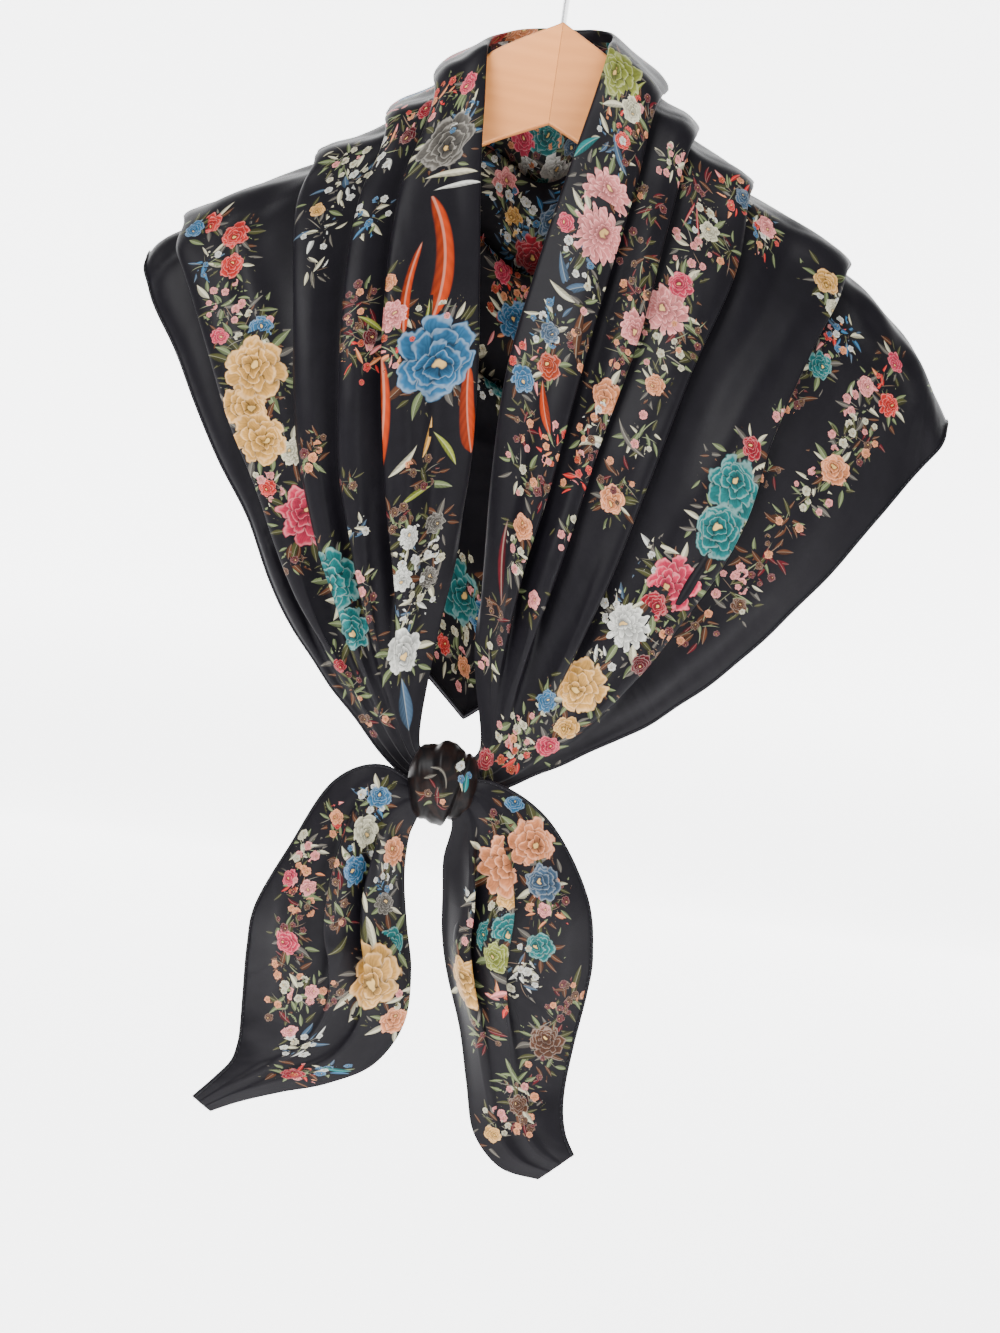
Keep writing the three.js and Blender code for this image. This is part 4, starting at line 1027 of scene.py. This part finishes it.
def group_leaf():
    """A pointed leaf with a vein, one half lighter than the other. The place's third value is its
    width, and 1 more than that makes a long blunt blade."""
    bench, takes, gives = new_group("Leaf", MOTIF_TAKES, MOTIF_GIVES)
    place = bench.node("ShaderNodeSeparateXYZ", {0: takes["Place"]}).outputs
    blunt = bench.maths("FLOOR", place[2])
    narrowing = bench.maths("MULTIPLY_ADD", blunt, 4.0, 2.0)
    full = bench.maths("SUBTRACT", 1.0, bench.maths("POWER", bench.maths("ABSOLUTE", place[0]), narrowing))
    taper = bench.maths("MULTIPLY_ADD", place[0], -0.3, 1.0)
    wide = bench.maths("SUBTRACT", place[2], blunt)
    half = bench.maths("MULTIPLY", bench.maths("MULTIPLY", bench.maths("MAXIMUM", full, 0.0), taper), wide)
    off = bench.maths("ABSOLUTE", place[1])
    cover = bench.step(bench.maths("SUBTRACT", half, off), 0.0, 0.035)
    side = bench.step(place[1], -0.02, 0.02)
    shade = bench.maths("MULTIPLY_ADD", side, 0.45, 0.5)
    slant = bench.maths("MULTIPLY_ADD", place[0], 26.0, bench.maths("MULTIPLY", off, 40.0))
    ribs = bench.maths("SINE", slant)
    hollow = bench.maths("POWER", bench.maths("DIVIDE", off, bench.maths("MAXIMUM", half, 0.01)), 3.0)
    edge = bench.maths("SUBTRACT", 1.05, bench.maths("MULTIPLY", bench.maths("MINIMUM", hollow, 1.0), 0.65))
    light = bench.maths("MULTIPLY", bench.maths("MULTIPLY_ADD", ribs, 0.08, shade), edge)
    body = bench.shaded(takes["Ink"], light)
    vein = bench.maths("MULTIPLY", bench.step(off, 0.03, 0.01), 0.5)
    bench.feed(gives["Color"], bench.blend(vein, body, bench.blend(0.3, takes["Ink"], LEAF_VEIN)))
    bench.feed(gives["Cover"], cover)


# From rib to rib of the twill, in metres.
RIB_PITCH = 0.0009


def group_twill():
    """The fine slanting ribs of silk twill, and its slight slubs, from the cloth's own lengths."""
    bench, takes, gives = new_group(
        "Twill", (("Strength", "Float", 0.1), ("Creases", "Float", 0.3)),
        (("Normal", "Vector"), ("Tone", "Float")))
    cloth = bench.node("ShaderNodeUVMap", uv_map="cloth").outputs[0]
    flow = bench.node("ShaderNodeSeparateXYZ", {0: cloth}).outputs
    slant = bench.maths("MULTIPLY", bench.maths("ADD", flow[0], flow[1]), FULL_TURN / RIB_PITCH)
    ribs = bench.maths("SINE", slant)
    slubs = bench.noise(cloth, 90.0, 3.0)
    height = bench.maths("MULTIPLY_ADD", slubs, 3.0, ribs)
    bump = bench.node("ShaderNodeBump", {
        "Strength": takes["Strength"], "Distance": 0.0002, "Height": height})
    drawn = bench.node("ShaderNodeMapping", {"Vector": cloth, "Scale": (34.0, 7.0, 1.0)}).outputs[0]
    soft = bench.noise(drawn, 1.0, 1.5, 0.6)
    creased = bench.node("ShaderNodeBump", {
        "Strength": takes["Creases"], "Distance": 0.006, "Height": soft, "Normal": bump.outputs[0]})
    bench.feed(gives["Normal"], creased.outputs[0])
    bench.feed(gives["Tone"], slubs)


def new_material(name):
    material = bpy.data.materials.new(name)
    material.use_nodes = True
    return material, Bench(material.node_tree), material.node_tree.nodes["Principled BSDF"].inputs


def silk_finish(shader):
    shader["Roughness"].default_value = 0.44
    shader["Specular IOR Level"].default_value = 0.095
    shader["Sheen Weight"].default_value = 0.01
    shader["Sheen Roughness"].default_value = 0.4
    shader["Sheen Tint"].default_value = (0.86, 0.86, 0.95, 1)


# How fully the inks cover the ground.
PRINT_COVER = 0.9


def print_over(bench, ground):
    """The motifs of each layer, printed over the ground."""
    colour = ground
    for layer, group in zip(LAYERS, LAYER_GROUPS):
        place = bench.node("ShaderNodeAttribute", attribute_name=layer).outputs["Vector"]
        paint = bench.node("ShaderNodeAttribute", attribute_name=layer + "_ink").outputs["Color"]
        motif = bench.group(group, Place=place, Ink=paint)
        colour = bench.blend(motif["Cover"], colour, motif["Color"])
    return bench.blend(PRINT_COVER, ground, colour)


def material_printed_silk():
    material, bench, shader = new_material("Printed silk twill")
    twill = bench.group("Twill", Strength=0.12)
    ground = bench.blend(twill["Tone"], *SILK_GROUND)
    bench.feed(shader["Base Color"], print_over(bench, ground))
    bench.feed(shader["Normal"], twill["Normal"])
    silk_finish(shader)
    return material


def material_knot_silk():
    material, bench, shader = new_material("Dark silk of the knot")
    here = bench.node("ShaderNodeTexCoord").outputs["Object"]
    patches = bench.noise(here, 95.0, 4.0, 1.2)
    ground = bench.blend(bench.step(patches, 0.40, 0.64), *KNOT_GROUND)
    bench.feed(shader["Base Color"], print_over(bench, ground))
    silk_finish(shader)
    shader["Roughness"].default_value = 0.38
    return material


def material_wood(name, lean, tone):
    """Pale wood with its grain along the board. lean: the board's slope, in radians. tone: how
    light this board's wood is."""
    material, bench, shader = new_material(name)
    here = bench.node("ShaderNodeTexCoord").outputs["Object"]
    board = bench.node("ShaderNodeMapping", {
        "Vector": here, "Rotation": (0, lean, 0), "Scale": (5, 40, 40)}).outputs[0]
    rings = bench.node("ShaderNodeTexWave", {
        "Vector": board, "Scale": 1.1, "Distortion": 5.0, "Detail": 3.0, "Detail Scale": 1.2},
        bands_direction="Z").outputs["Fac"]
    pores = bench.noise(board, 14.0, 5.0)
    pale = tuple(c * tone for c in WOOD_PALE) + (1,)
    deep = tuple(c * tone for c in WOOD_DEEP) + (1,)
    grain = bench.blend(bench.maths("MULTIPLY", rings, 0.4), pale, deep)
    dark_pores = bench.maths("MULTIPLY", bench.step(pores, 0.5, 0.75), 0.25)
    bench.feed(shader["Base Color"], bench.blend(dark_pores, grain, deep))
    bump = bench.node("ShaderNodeBump", {"Strength": 0.12, "Distance": 0.0004, "Height": pores})
    bench.feed(shader["Normal"], bump.outputs[0])
    shader["Roughness"].default_value = 0.48
    return material


def material_steel():
    material, bench, shader = new_material("Bright steel wire")
    here = bench.node("ShaderNodeTexCoord").outputs["Object"]
    wear = bench.noise(here, 700.0, 2.0)
    bench.feed(shader["Roughness"], bench.maths("MULTIPLY_ADD", wear, 0.2, 0.14))
    shader["Base Color"].default_value = STEEL
    shader["Metallic"].default_value = 1.0
    return material


def material_hem_silk():
    material, bench, shader = new_material("Silk of the hem")
    here = bench.node("ShaderNodeTexCoord").outputs["Object"]
    bench.feed(shader["Base Color"], bench.blend(bench.noise(here, 160.0, 3.0), *HEM_GROUND))
    silk_finish(shader)
    return material


def material_thread():
    material, _, shader = new_material("Dark silk thread")
    shader["Base Color"].default_value = THREAD
    shader["Roughness"].default_value = 0.5
    return material


# Pieces

def lay(name, rows, columns, outward, end, pitch, over_shoulder=True):
    """One stretch of cloth from the knot on, with its folds. end: the station where it ends.
    pitch: the length of its mesh cells, in millimetres."""
    drape = Drape(rows, columns, outward, bpy.context.scene.scarf_cloth, over_shoulder)
    stations = station_list(drape, KNOT_SEAM, end, pitch)
    widths = [np.linalg.norm(drape.read(s)[OUT] - drape.read(s)[IN]) for s in stations]
    places = place_list(drape, stations[int(np.argmax(widths))], pitch)
    points, out = cloth_grid(drape, stations, places, name)
    return Cloth(name, points, out, stations, outward)


def finish_cloth(cloth):
    piece = cloth.build(bpy.data.materials["Printed silk twill"])
    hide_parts(cloth.name)
    add_hem(cloth)


def add_hem(cloth):
    """The rolled hem of both plies, and the hand stitches that hold it."""
    sizes = bpy.context.scene.scarf_hem
    edge, out = cloth.points[:, -1], cloth.out[:, -1]
    inward = unit(cloth.points[:, -2] - edge)
    lower = edge - out * sizes.ply_gap + inward * sizes.ply_step
    silk = bpy.data.materials["Silk of the hem"]
    seam = edge + out * 0.5 * sizes.bead_radius + inward * 0.7 * sizes.bead_radius
    made = [
        tube("hem_" + cloth.name, edge, sizes.bead_radius, HEM_SIDES, silk),
        tube("under_hem_" + cloth.name, lower, sizes.bead_radius, HEM_SIDES, silk),
        sew("stitches_" + cloth.name, seam, sizes),
    ]
    return made


def tube(name, line, radius, sides, material):
    """A closed round bead along a line, in millimetres."""
    way = unit(np.gradient(line, axis=0))
    side = unit(np.cross(way, way[:, [1, 2, 0]] + (0.1, 0.7, 0.2)))
    rise = np.cross(way, side)
    turn = np.linspace(0, FULL_TURN, sides, endpoint=False)[:, None]
    round_it = side[:, None] * np.cos(turn) + rise[:, None] * np.sin(turn)
    rings = line[:, None] + radius * round_it
    index = np.arange(len(line) * sides).reshape(-1, sides)
    here, following = index, np.roll(index, -1, axis=1)
    quads = np.stack((here[:-1], following[:-1], following[1:], here[1:]), -1).reshape(-1, 4).tolist()
    mesh = bpy.data.meshes.new(name)
    caps = [index[0, ::-1].tolist(), index[-1].tolist()]
    mesh.from_pydata((rings.reshape(-1, 3) * MM).tolist(), [], quads + caps)
    mesh.polygons.foreach_set("use_smooth", [True] * len(quads) + [False, False])
    return add_object(name, mesh, material)


# What the stitches' tree takes: name and kind of each socket. Lengths are in metres.
STITCH_TAKES = (
    ("Geometry", "Geometry"), ("Spacing", "Float"), ("Stitch length", "Float"),
    ("Thread radius", "Float"), ("Slant", "Float"), ("Thread", "Material"),
)


def tree_hem_stitches():
    """Small slanting stitches, evenly spaced along a line."""
    tree = bpy.data.node_groups.new("Hem stitches", "GeometryNodeTree")
    for name, kind in STITCH_TAKES:
        tree.interface.new_socket(name=name, in_out="INPUT", socket_type="NodeSocket" + kind)
    tree.interface.new_socket(name="Geometry", in_out="OUTPUT", socket_type="NodeSocketGeometry")
    bench = Bench(tree)
    takes, gives = bench.node("NodeGroupInput").outputs, bench.node("NodeGroupOutput").inputs
    line = bench.node("GeometryNodeMeshToCurve", {"Mesh": takes["Geometry"]}).outputs[0]
    spots = bench.node("GeometryNodeCurveToPoints", {
        "Curve": line, "Length": takes["Spacing"]}, mode="LENGTH").outputs
    stitch = bench.node("GeometryNodeMeshCylinder", {
        "Vertices": 6, "Radius": takes["Thread radius"], "Depth": takes["Stitch length"]}).outputs["Mesh"]
    upright = bench.node("FunctionNodeAlignRotationToVector", {
        "Rotation": (0, 0, 0), "Vector": spots["Tangent"]}, axis="Z")
    lean = bench.node("ShaderNodeCombineXYZ", {"X": takes["Slant"]}).outputs[0]
    turned = bench.node("FunctionNodeRotateRotation", {
        "Rotation": upright.outputs[0], "Rotate By": lean}, rotation_space="LOCAL").outputs[0]
    row = bench.node("GeometryNodeInstanceOnPoints", {
        "Points": spots["Points"], "Instance": stitch, "Rotation": turned}).outputs[0]
    solid = bench.node("GeometryNodeRealizeInstances", {"Geometry": row}).outputs[0]
    done = bench.node("GeometryNodeSetMaterial", {"Geometry": solid, "Material": takes["Thread"]}).outputs[0]
    bench.feed(gives["Geometry"], done)
    return tree


def sew(name, line, sizes):
    """Hand stitches along a line, in millimetres."""
    tree = bpy.data.node_groups.get("Hem stitches") or tree_hem_stitches()
    names = {item.name: item.identifier for item in tree.interface.items_tree if item.in_out == "INPUT"}
    path = bpy.data.meshes.new(name + "_line")
    path.from_pydata((line * MM).tolist(), [(i, i + 1) for i in range(len(line) - 1)], [])
    piece = bpy.data.objects.new(name, path)
    bpy.context.scene.collection.objects.link(piece)
    modifier = piece.modifiers.new("Hem stitches", "NODES")
    modifier.node_group = tree
    for label, value in (
        ("Spacing", sizes.stitch_spacing * MM), ("Stitch length", sizes.stitch_length * MM),
        ("Thread radius", sizes.thread_radius * MM), ("Slant", sizes.slant),
        ("Thread", bpy.data.materials["Dark silk thread"]),
    ):
        modifier[names[label]] = value
    solid = bpy.data.meshes.new_from_object(piece.evaluated_get(bpy.context.evaluated_depsgraph_get()))
    piece.modifiers.clear()
    piece.data = solid
    bpy.data.meshes.remove(path)
    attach(piece, "root")
    return piece


class KnotSizes(bpy.types.PropertyGroup):
    middle: bpy.props.FloatVectorProperty(
        name="Middle", description="Middle of the knot, mm", default=(-4.5, -84.0, -501.5), size=3)
    half: setting("Half length", "Half its length across, mm", 19.5)
    deep: setting("Depth", "Half its depth, mm", 17.0)
    tall: setting("Height", "Half its height, mm", 22.5)
    creases: setting("Creases", "Folds of the band side by side", 2.6)
    crease: setting("Crease height", "As a share of its girth", 0.075)
    lean: setting("Lean", "How far the folds wander round it", 0.2)
    band: setting("Second band", "Where it begins, as a share of the half length", 0.36)
    groove: setting("Groove", "Depth of the groove before it", 0.1)


class HemSizes(bpy.types.PropertyGroup):
    bead_radius: setting("Hem radius", "Radius of the rolled hem, mm", 0.95)
    ply_gap: setting("Ply gap", "How far behind the under ply lies, mm", 2.1)
    ply_step: setting("Ply step", "How far inside it lies, mm", 1.2)
    stitch_spacing: setting("Spacing", "From stitch to stitch, mm", 3.2)
    stitch_length: setting("Stitch", "Length of a stitch, mm", 1.6)
    thread_radius: setting("Thread", "Radius of the thread, mm", 0.15)
    slant: setting(
        "Slant", "How far a stitch leans off the hem", 0.75, subtype="ANGLE", unit="ROTATION")


class HangerSizes(bpy.types.PropertyGroup):
    thick: setting("Thickness", "Thickness of a board, mm", 12.0)
    rounding: setting("Rounding", "Radius of its edges, mm", 1.6)
    mitre: setting("Mitre", "Half the joint between the boards, mm", 0.08)


class StageSizes(bpy.types.PropertyGroup):
    floor: setting("Floor", "Height of the floor, m", -0.95)
    wall: setting("Wall", "How far behind the wall stands, m", 2.8)
    bend: setting("Bend", "Radius of the bend between them, m", 0.3)
    room: setting("Room light", "Strength of the even light", 0.5)
    glow: setting("Glow", "Light that the paper itself gives", 3.4)
    half: setting("Half width", "Half the width of both, m", 4.5)
    front: setting("Front", "Where the floor begins, m", -3.0)
    top: setting("Top", "Height of the wall's upper edge, m", 3.4)


class SCARF_OT_mix_materials(bpy.types.Operator):
    """Make the print's shader groups, the silk and the thread"""
    bl_idname = "scarf.mix_materials"
    bl_label = "Make the materials"

    def execute(self, context):
        for build in (group_petal_ring, group_blossom, group_leaf, group_twill):
            build()
        material_printed_silk()
        material_knot_silk()
        material_hem_silk()
        material_thread()
        return {"FINISHED"}


class SCARF_OT_drape_fronts(bpy.types.Operator):
    """Lay the two front stretches of the silk, from the knot up over the shoulders"""
    bl_idname = "scarf.drape_fronts"
    bl_label = "Drape the fronts"

    def execute(self, context):
        left, right = join_at_back(LEFT_SECTIONS, RIGHT_SECTIONS)
        for name, rows, outward in (("front_left", left, -1), ("front_right", right, 1)):
            pitch = context.scene.scarf_cloth.mesh_pitch
            cloth = lay(name, rows, SECTION_COLUMNS, outward, SHOULDER_SEAM, pitch)
            cloth.print_motifs()
            finish_cloth(cloth)
        return {"FINISHED"}


class SCARF_OT_drape_back(bpy.types.Operator):
    """Lay the back stretch of the silk, from shoulder to shoulder"""
    bl_idname = "scarf.drape_back"
    bl_label = "Drape the back"

    def execute(self, context):
        sizes = context.scene.scarf_cloth
        left, right = join_at_back(LEFT_SECTIONS, RIGHT_SECTIONS)
        near, far = Drape(left, SECTION_COLUMNS, -1, sizes), Drape(right, SECTION_COLUMNS, 1, sizes)
        middle = len(LEFT_SECTIONS) - 1
        stations = station_list(near, SHOULDER_SEAM, middle, sizes.back_pitch)
        places = place_list(far, SHOULDER_RIDGE, sizes.back_pitch)
        points, out = cloth_grid(near, stations, places, "back")
        more, more_out = cloth_grid(far, stations, places, "back")
        cloth = Cloth(
            "back", np.concatenate((points, more[-2::-1])), np.concatenate((out, more_out[-2::-1])),
            np.concatenate((stations, 2 * middle - stations[-2::-1])), -1)
        cloth.print_motifs()
        finish_cloth(cloth)
        return {"FINISHED"}


class SCARF_OT_hang_tails(bpy.types.Operator):
    """Hang the two tails from the knot"""
    bl_idname = "scarf.hang_tails"
    bl_label = "Hang the tails"

    def execute(self, context):
        for name, rows, outward in (("tail_left", LEFT_TAIL, 1), ("tail_right", RIGHT_TAIL, -1)):
            pitch = context.scene.scarf_cloth.tail_pitch
            cloth = lay(name, rows, TAIL_COLUMNS, outward, len(rows) - 1, pitch, over_shoulder=False)
            cloth.print_motifs()
            finish_cloth(cloth)
        return {"FINISHED"}


# The knot's smaller folds, as shares of its girth: between the creases, the crimps round it, and
# how much slimmer the second band is.
FINE_CREASE, CRIMP, BAND_DROP = 0.016, 0.007, 0.09


class SCARF_OT_tie_knot(bpy.types.Operator):
    """Wrap the creased band round the crossing ends"""
    bl_idname = "scarf.tie_knot"
    bl_label = "Tie the knot"

    def execute(self, context):
        knot = context.scene.scarf_knot
        u = np.sin(np.linspace(-math.pi / 2, math.pi / 2, KNOT_RINGS))[:, None]
        turn = np.linspace(-math.pi, math.pi, KNOT_SIDES + 1)[None]
        girth = (1 - 0.86 * np.abs(u) ** 3.2) ** 0.6
        wander = u - knot.lean * np.sin(turn + 0.6)
        wave = math.pi * knot.creases * (u + 0.5 * knot.lean * np.sin(2 * turn))
        broad = knot.crease * np.cos(wave) * (0.6 + 0.4 * np.cos(turn - 0.5))
        fine = FINE_CREASE * np.cos(2.3 * wave + 2 * np.sin(turn))
        groove = -knot.groove * np.exp(-(((wander - knot.band) / 0.06) ** 2))
        band = -BAND_DROP * (1 + np.tanh((wander - knot.band) / 0.05)) / 2
        crimp = CRIMP * np.sin(11 * turn + 5 * u + 2 * np.cos(3 * turn)) * (1 - u * u)
        size = girth * (1 + (broad + fine) + groove + band + crimp)
        size[[0, -1]] *= 0.03
        x0, y0, z0 = knot.middle
        x = x0 + u * knot.half + 0 * turn
        y = y0 - knot.deep * size * np.cos(turn)
        z = z0 + knot.tall * size * np.sin(turn)
        points = np.stack((x, y, z), -1)
        cloth = Cloth("knot", points, grid_normals(points), u[:, 0], 1)
        cloth.print_motifs()
        piece = cloth.build(bpy.data.materials["Dark silk of the knot"])
        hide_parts("knot")
        return {"FINISHED"}


def through(points, steps):
    """A smooth line through a few points."""
    points = np.array(points, float)
    padded = np.vstack((points[0], points, points[-1]))
    line = []
    for t in np.linspace(0, len(points) - 1, steps):
        i = min(int(t), len(points) - 2)
        p, q, r, w = padded[i:i + 4]
        k = t - i
        line.append(q + 0.5 * k * (r - p + k * (2 * p - 5 * q + 4 * r - w + k * (3 * (q - r) + w - p))))
    return np.array(line)


def make_board(name, side, material):
    """One arm of the hanger: a flat board with rounded edges, cut square at the mitre."""
    sizes = bpy.context.scene.scarf_hanger
    outline = np.vstack((through(BOARD_TOP, TOP_STEPS), through(BOARD_FOOT, FOOT_STEPS)))
    outline[:, 0] = side * np.maximum(outline[:, 0], sizes.mitre)
    form = bmesh.new()
    corners = [form.verts.new((x * MM, -sizes.thick / 2 * MM, z * MM)) for x, z in outline]
    face = form.faces.new(corners if side > 0 else corners[::-1])
    pushed = bmesh.ops.extrude_face_region(form, geom=[face])["geom"]
    moved = [item for item in pushed if isinstance(item, bmesh.types.BMVert)]
    bmesh.ops.translate(form, verts=moved, vec=(0, sizes.thick * MM, 0))
    bmesh.ops.recalc_face_normals(form, faces=form.faces)
    rims = [edge for edge in form.edges
            if abs(edge.verts[0].co.y - edge.verts[1].co.y) < 1e-6
            and max(abs(v.co.x) for v in edge.verts) > (sizes.mitre + 0.01) * MM]
    bmesh.ops.bevel(form, geom=rims, offset=sizes.rounding * MM, segments=4, profile=0.5, affect="EDGES")
    mesh = bpy.data.meshes.new(name)
    form.to_mesh(mesh)
    form.free()
    mesh.polygons.foreach_set("use_smooth", [True] * len(mesh.polygons))
    mesh.set_sharp_from_angle(angle=math.radians(38))
    return add_object(name, mesh, material)


def dress(node, material):
    """Gives the solid of a node its material."""
    for piece in bpy.data.objects:
        if piece.type == "MESH" and piece.name.split(".")[0] == node:
            piece.data.materials.clear()
            piece.data.materials.append(material)


class SCARF_OT_finish_hanger(bpy.types.Operator):
    """Make the hanger's two boards, and give the hook its steel"""
    bl_idname = "scarf.finish_hanger"
    bl_label = "Finish the hanger"

    def execute(self, context):
        for name, side, slope, tone in (("left", -1, -0.62, 1.0), ("right", 1, 0.62, 0.88)):
            board = make_board("board_" + name, side, material_wood("Pale wood, " + name, slope, tone))
            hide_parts("hanger_arm_" + name)
        dress("hanger_hook", material_steel())
        return {"FINISHED"}


def material_paper(glow):
    material, _, shader = new_material("Pale paper")
    shader["Base Color"].default_value = PAPER
    shader["Roughness"].default_value = 0.9
    shader["Emission Color"].default_value = (1, 1, 1, 1)
    shader["Emission Strength"].default_value = glow
    return material


def make_backdrop(stage):
    """A floor that bends up into a wall behind."""
    start = stage.wall - stage.bend
    arc = [(start + stage.bend * math.sin(a), stage.floor + stage.bend * (1 - math.cos(a)))
           for a in np.linspace(0, math.pi / 2, 12)]
    sweep = bmesh.new()
    pairs = [[sweep.verts.new((x, y, z)) for x in (-stage.half, stage.half)]
             for y, z in [(stage.front, stage.floor)] + arc + [(stage.wall, stage.top)]]
    for low, high in zip(pairs, pairs[1:]):
        sweep.faces.new((low[0], low[1], high[1], high[0])).smooth = True
    mesh = bpy.data.meshes.new("backdrop")
    sweep.to_mesh(mesh)
    sweep.free()
    mesh.materials.append(material_paper(stage.glow))
    backdrop = bpy.data.objects.new("backdrop", mesh)
    bpy.context.scene.collection.objects.link(backdrop)
    return backdrop


class SCARF_OT_set_stage(bpy.types.Operator):
    """Set the pale floor and wall, the soft lights and the camera"""
    bl_idname = "scarf.set_stage"
    bl_label = "Set the stage"

    def execute(self, context):
        scene = context.scene
        backdrop = make_backdrop(scene.scarf_stage)
        for name, place, aim, size, watts in LIGHTS:
            light = bpy.data.lights.new(name, "AREA")
            light.size, light.energy = size, watts
            lamp = bpy.data.objects.new(name, light)
            scene.collection.objects.link(lamp)
            way = (Vector(aim) - Vector(place)).to_track_quat("-Z", "Y").to_matrix().to_4x4()
            lamp.matrix_world = Matrix.Translation(place) @ way
        world = bpy.data.worlds.new("Soft room")
        world.use_nodes = True
        world.node_tree.nodes["Background"].inputs["Color"].default_value = ROOM
        world.node_tree.nodes["Background"].inputs["Strength"].default_value = scene.scarf_stage.room
        scene.world = world
        camera = bpy.data.objects.new("camera", bpy.data.cameras.new("camera"))
        scene.collection.objects.link(camera)
        scene.camera = camera
        camera.data.lens, camera.data.sensor_width = LENS, SENSOR
        camera.matrix_world = camera_place()
        return {"FINISHED"}


class SCARF_PT_panel(bpy.types.Panel):
    """Sizes and steps of the silk square"""
    bl_idname = "SCARF_PT_panel"
    bl_label = "Silk Square"
    bl_space_type = "VIEW_3D"
    bl_region_type = "UI"
    bl_category = "Silk Square"

    def draw(self, context):
        for group in SETTINGS:
            box = self.layout.box()
            sizes = getattr(context.scene, group)
            for name in sizes.bl_rna.properties.keys():
                if name not in ("rna_type", "name"):
                    box.prop(sizes, name)
        for step in STEPS:
            self.layout.operator(step.bl_idname)


SETTINGS = {
    "scarf_cloth": ClothSizes, "scarf_knot": KnotSizes, "scarf_hem": HemSizes, "scarf_hanger": HangerSizes,
    "scarf_stage": StageSizes,
}
STEPS = (
    SCARF_OT_mix_materials, SCARF_OT_drape_fronts, SCARF_OT_drape_back, SCARF_OT_hang_tails,
    SCARF_OT_tie_knot, SCARF_OT_finish_hanger, SCARF_OT_set_stage,
)


def register():
    for name, group in SETTINGS.items():
        bpy.utils.register_class(group)
        setattr(bpy.types.Scene, name, bpy.props.PointerProperty(type=group))
    for item in STEPS + (SCARF_PT_panel,):
        bpy.utils.register_class(item)


def unregister():
    for item in reversed(STEPS + (SCARF_PT_panel,)):
        bpy.utils.unregister_class(item)
    for name, group in SETTINGS.items():
        delattr(bpy.types.Scene, name)
        bpy.utils.unregister_class(group)


def main():
    register()
    bpy.ops.scarf.mix_materials()
    bpy.ops.scarf.drape_fronts()
    bpy.ops.scarf.drape_back()
    bpy.ops.scarf.hang_tails()
    bpy.ops.scarf.tie_knot()
    bpy.ops.scarf.finish_hanger()
    bpy.ops.scarf.set_stage()


if __name__ == "__main__":
    main()
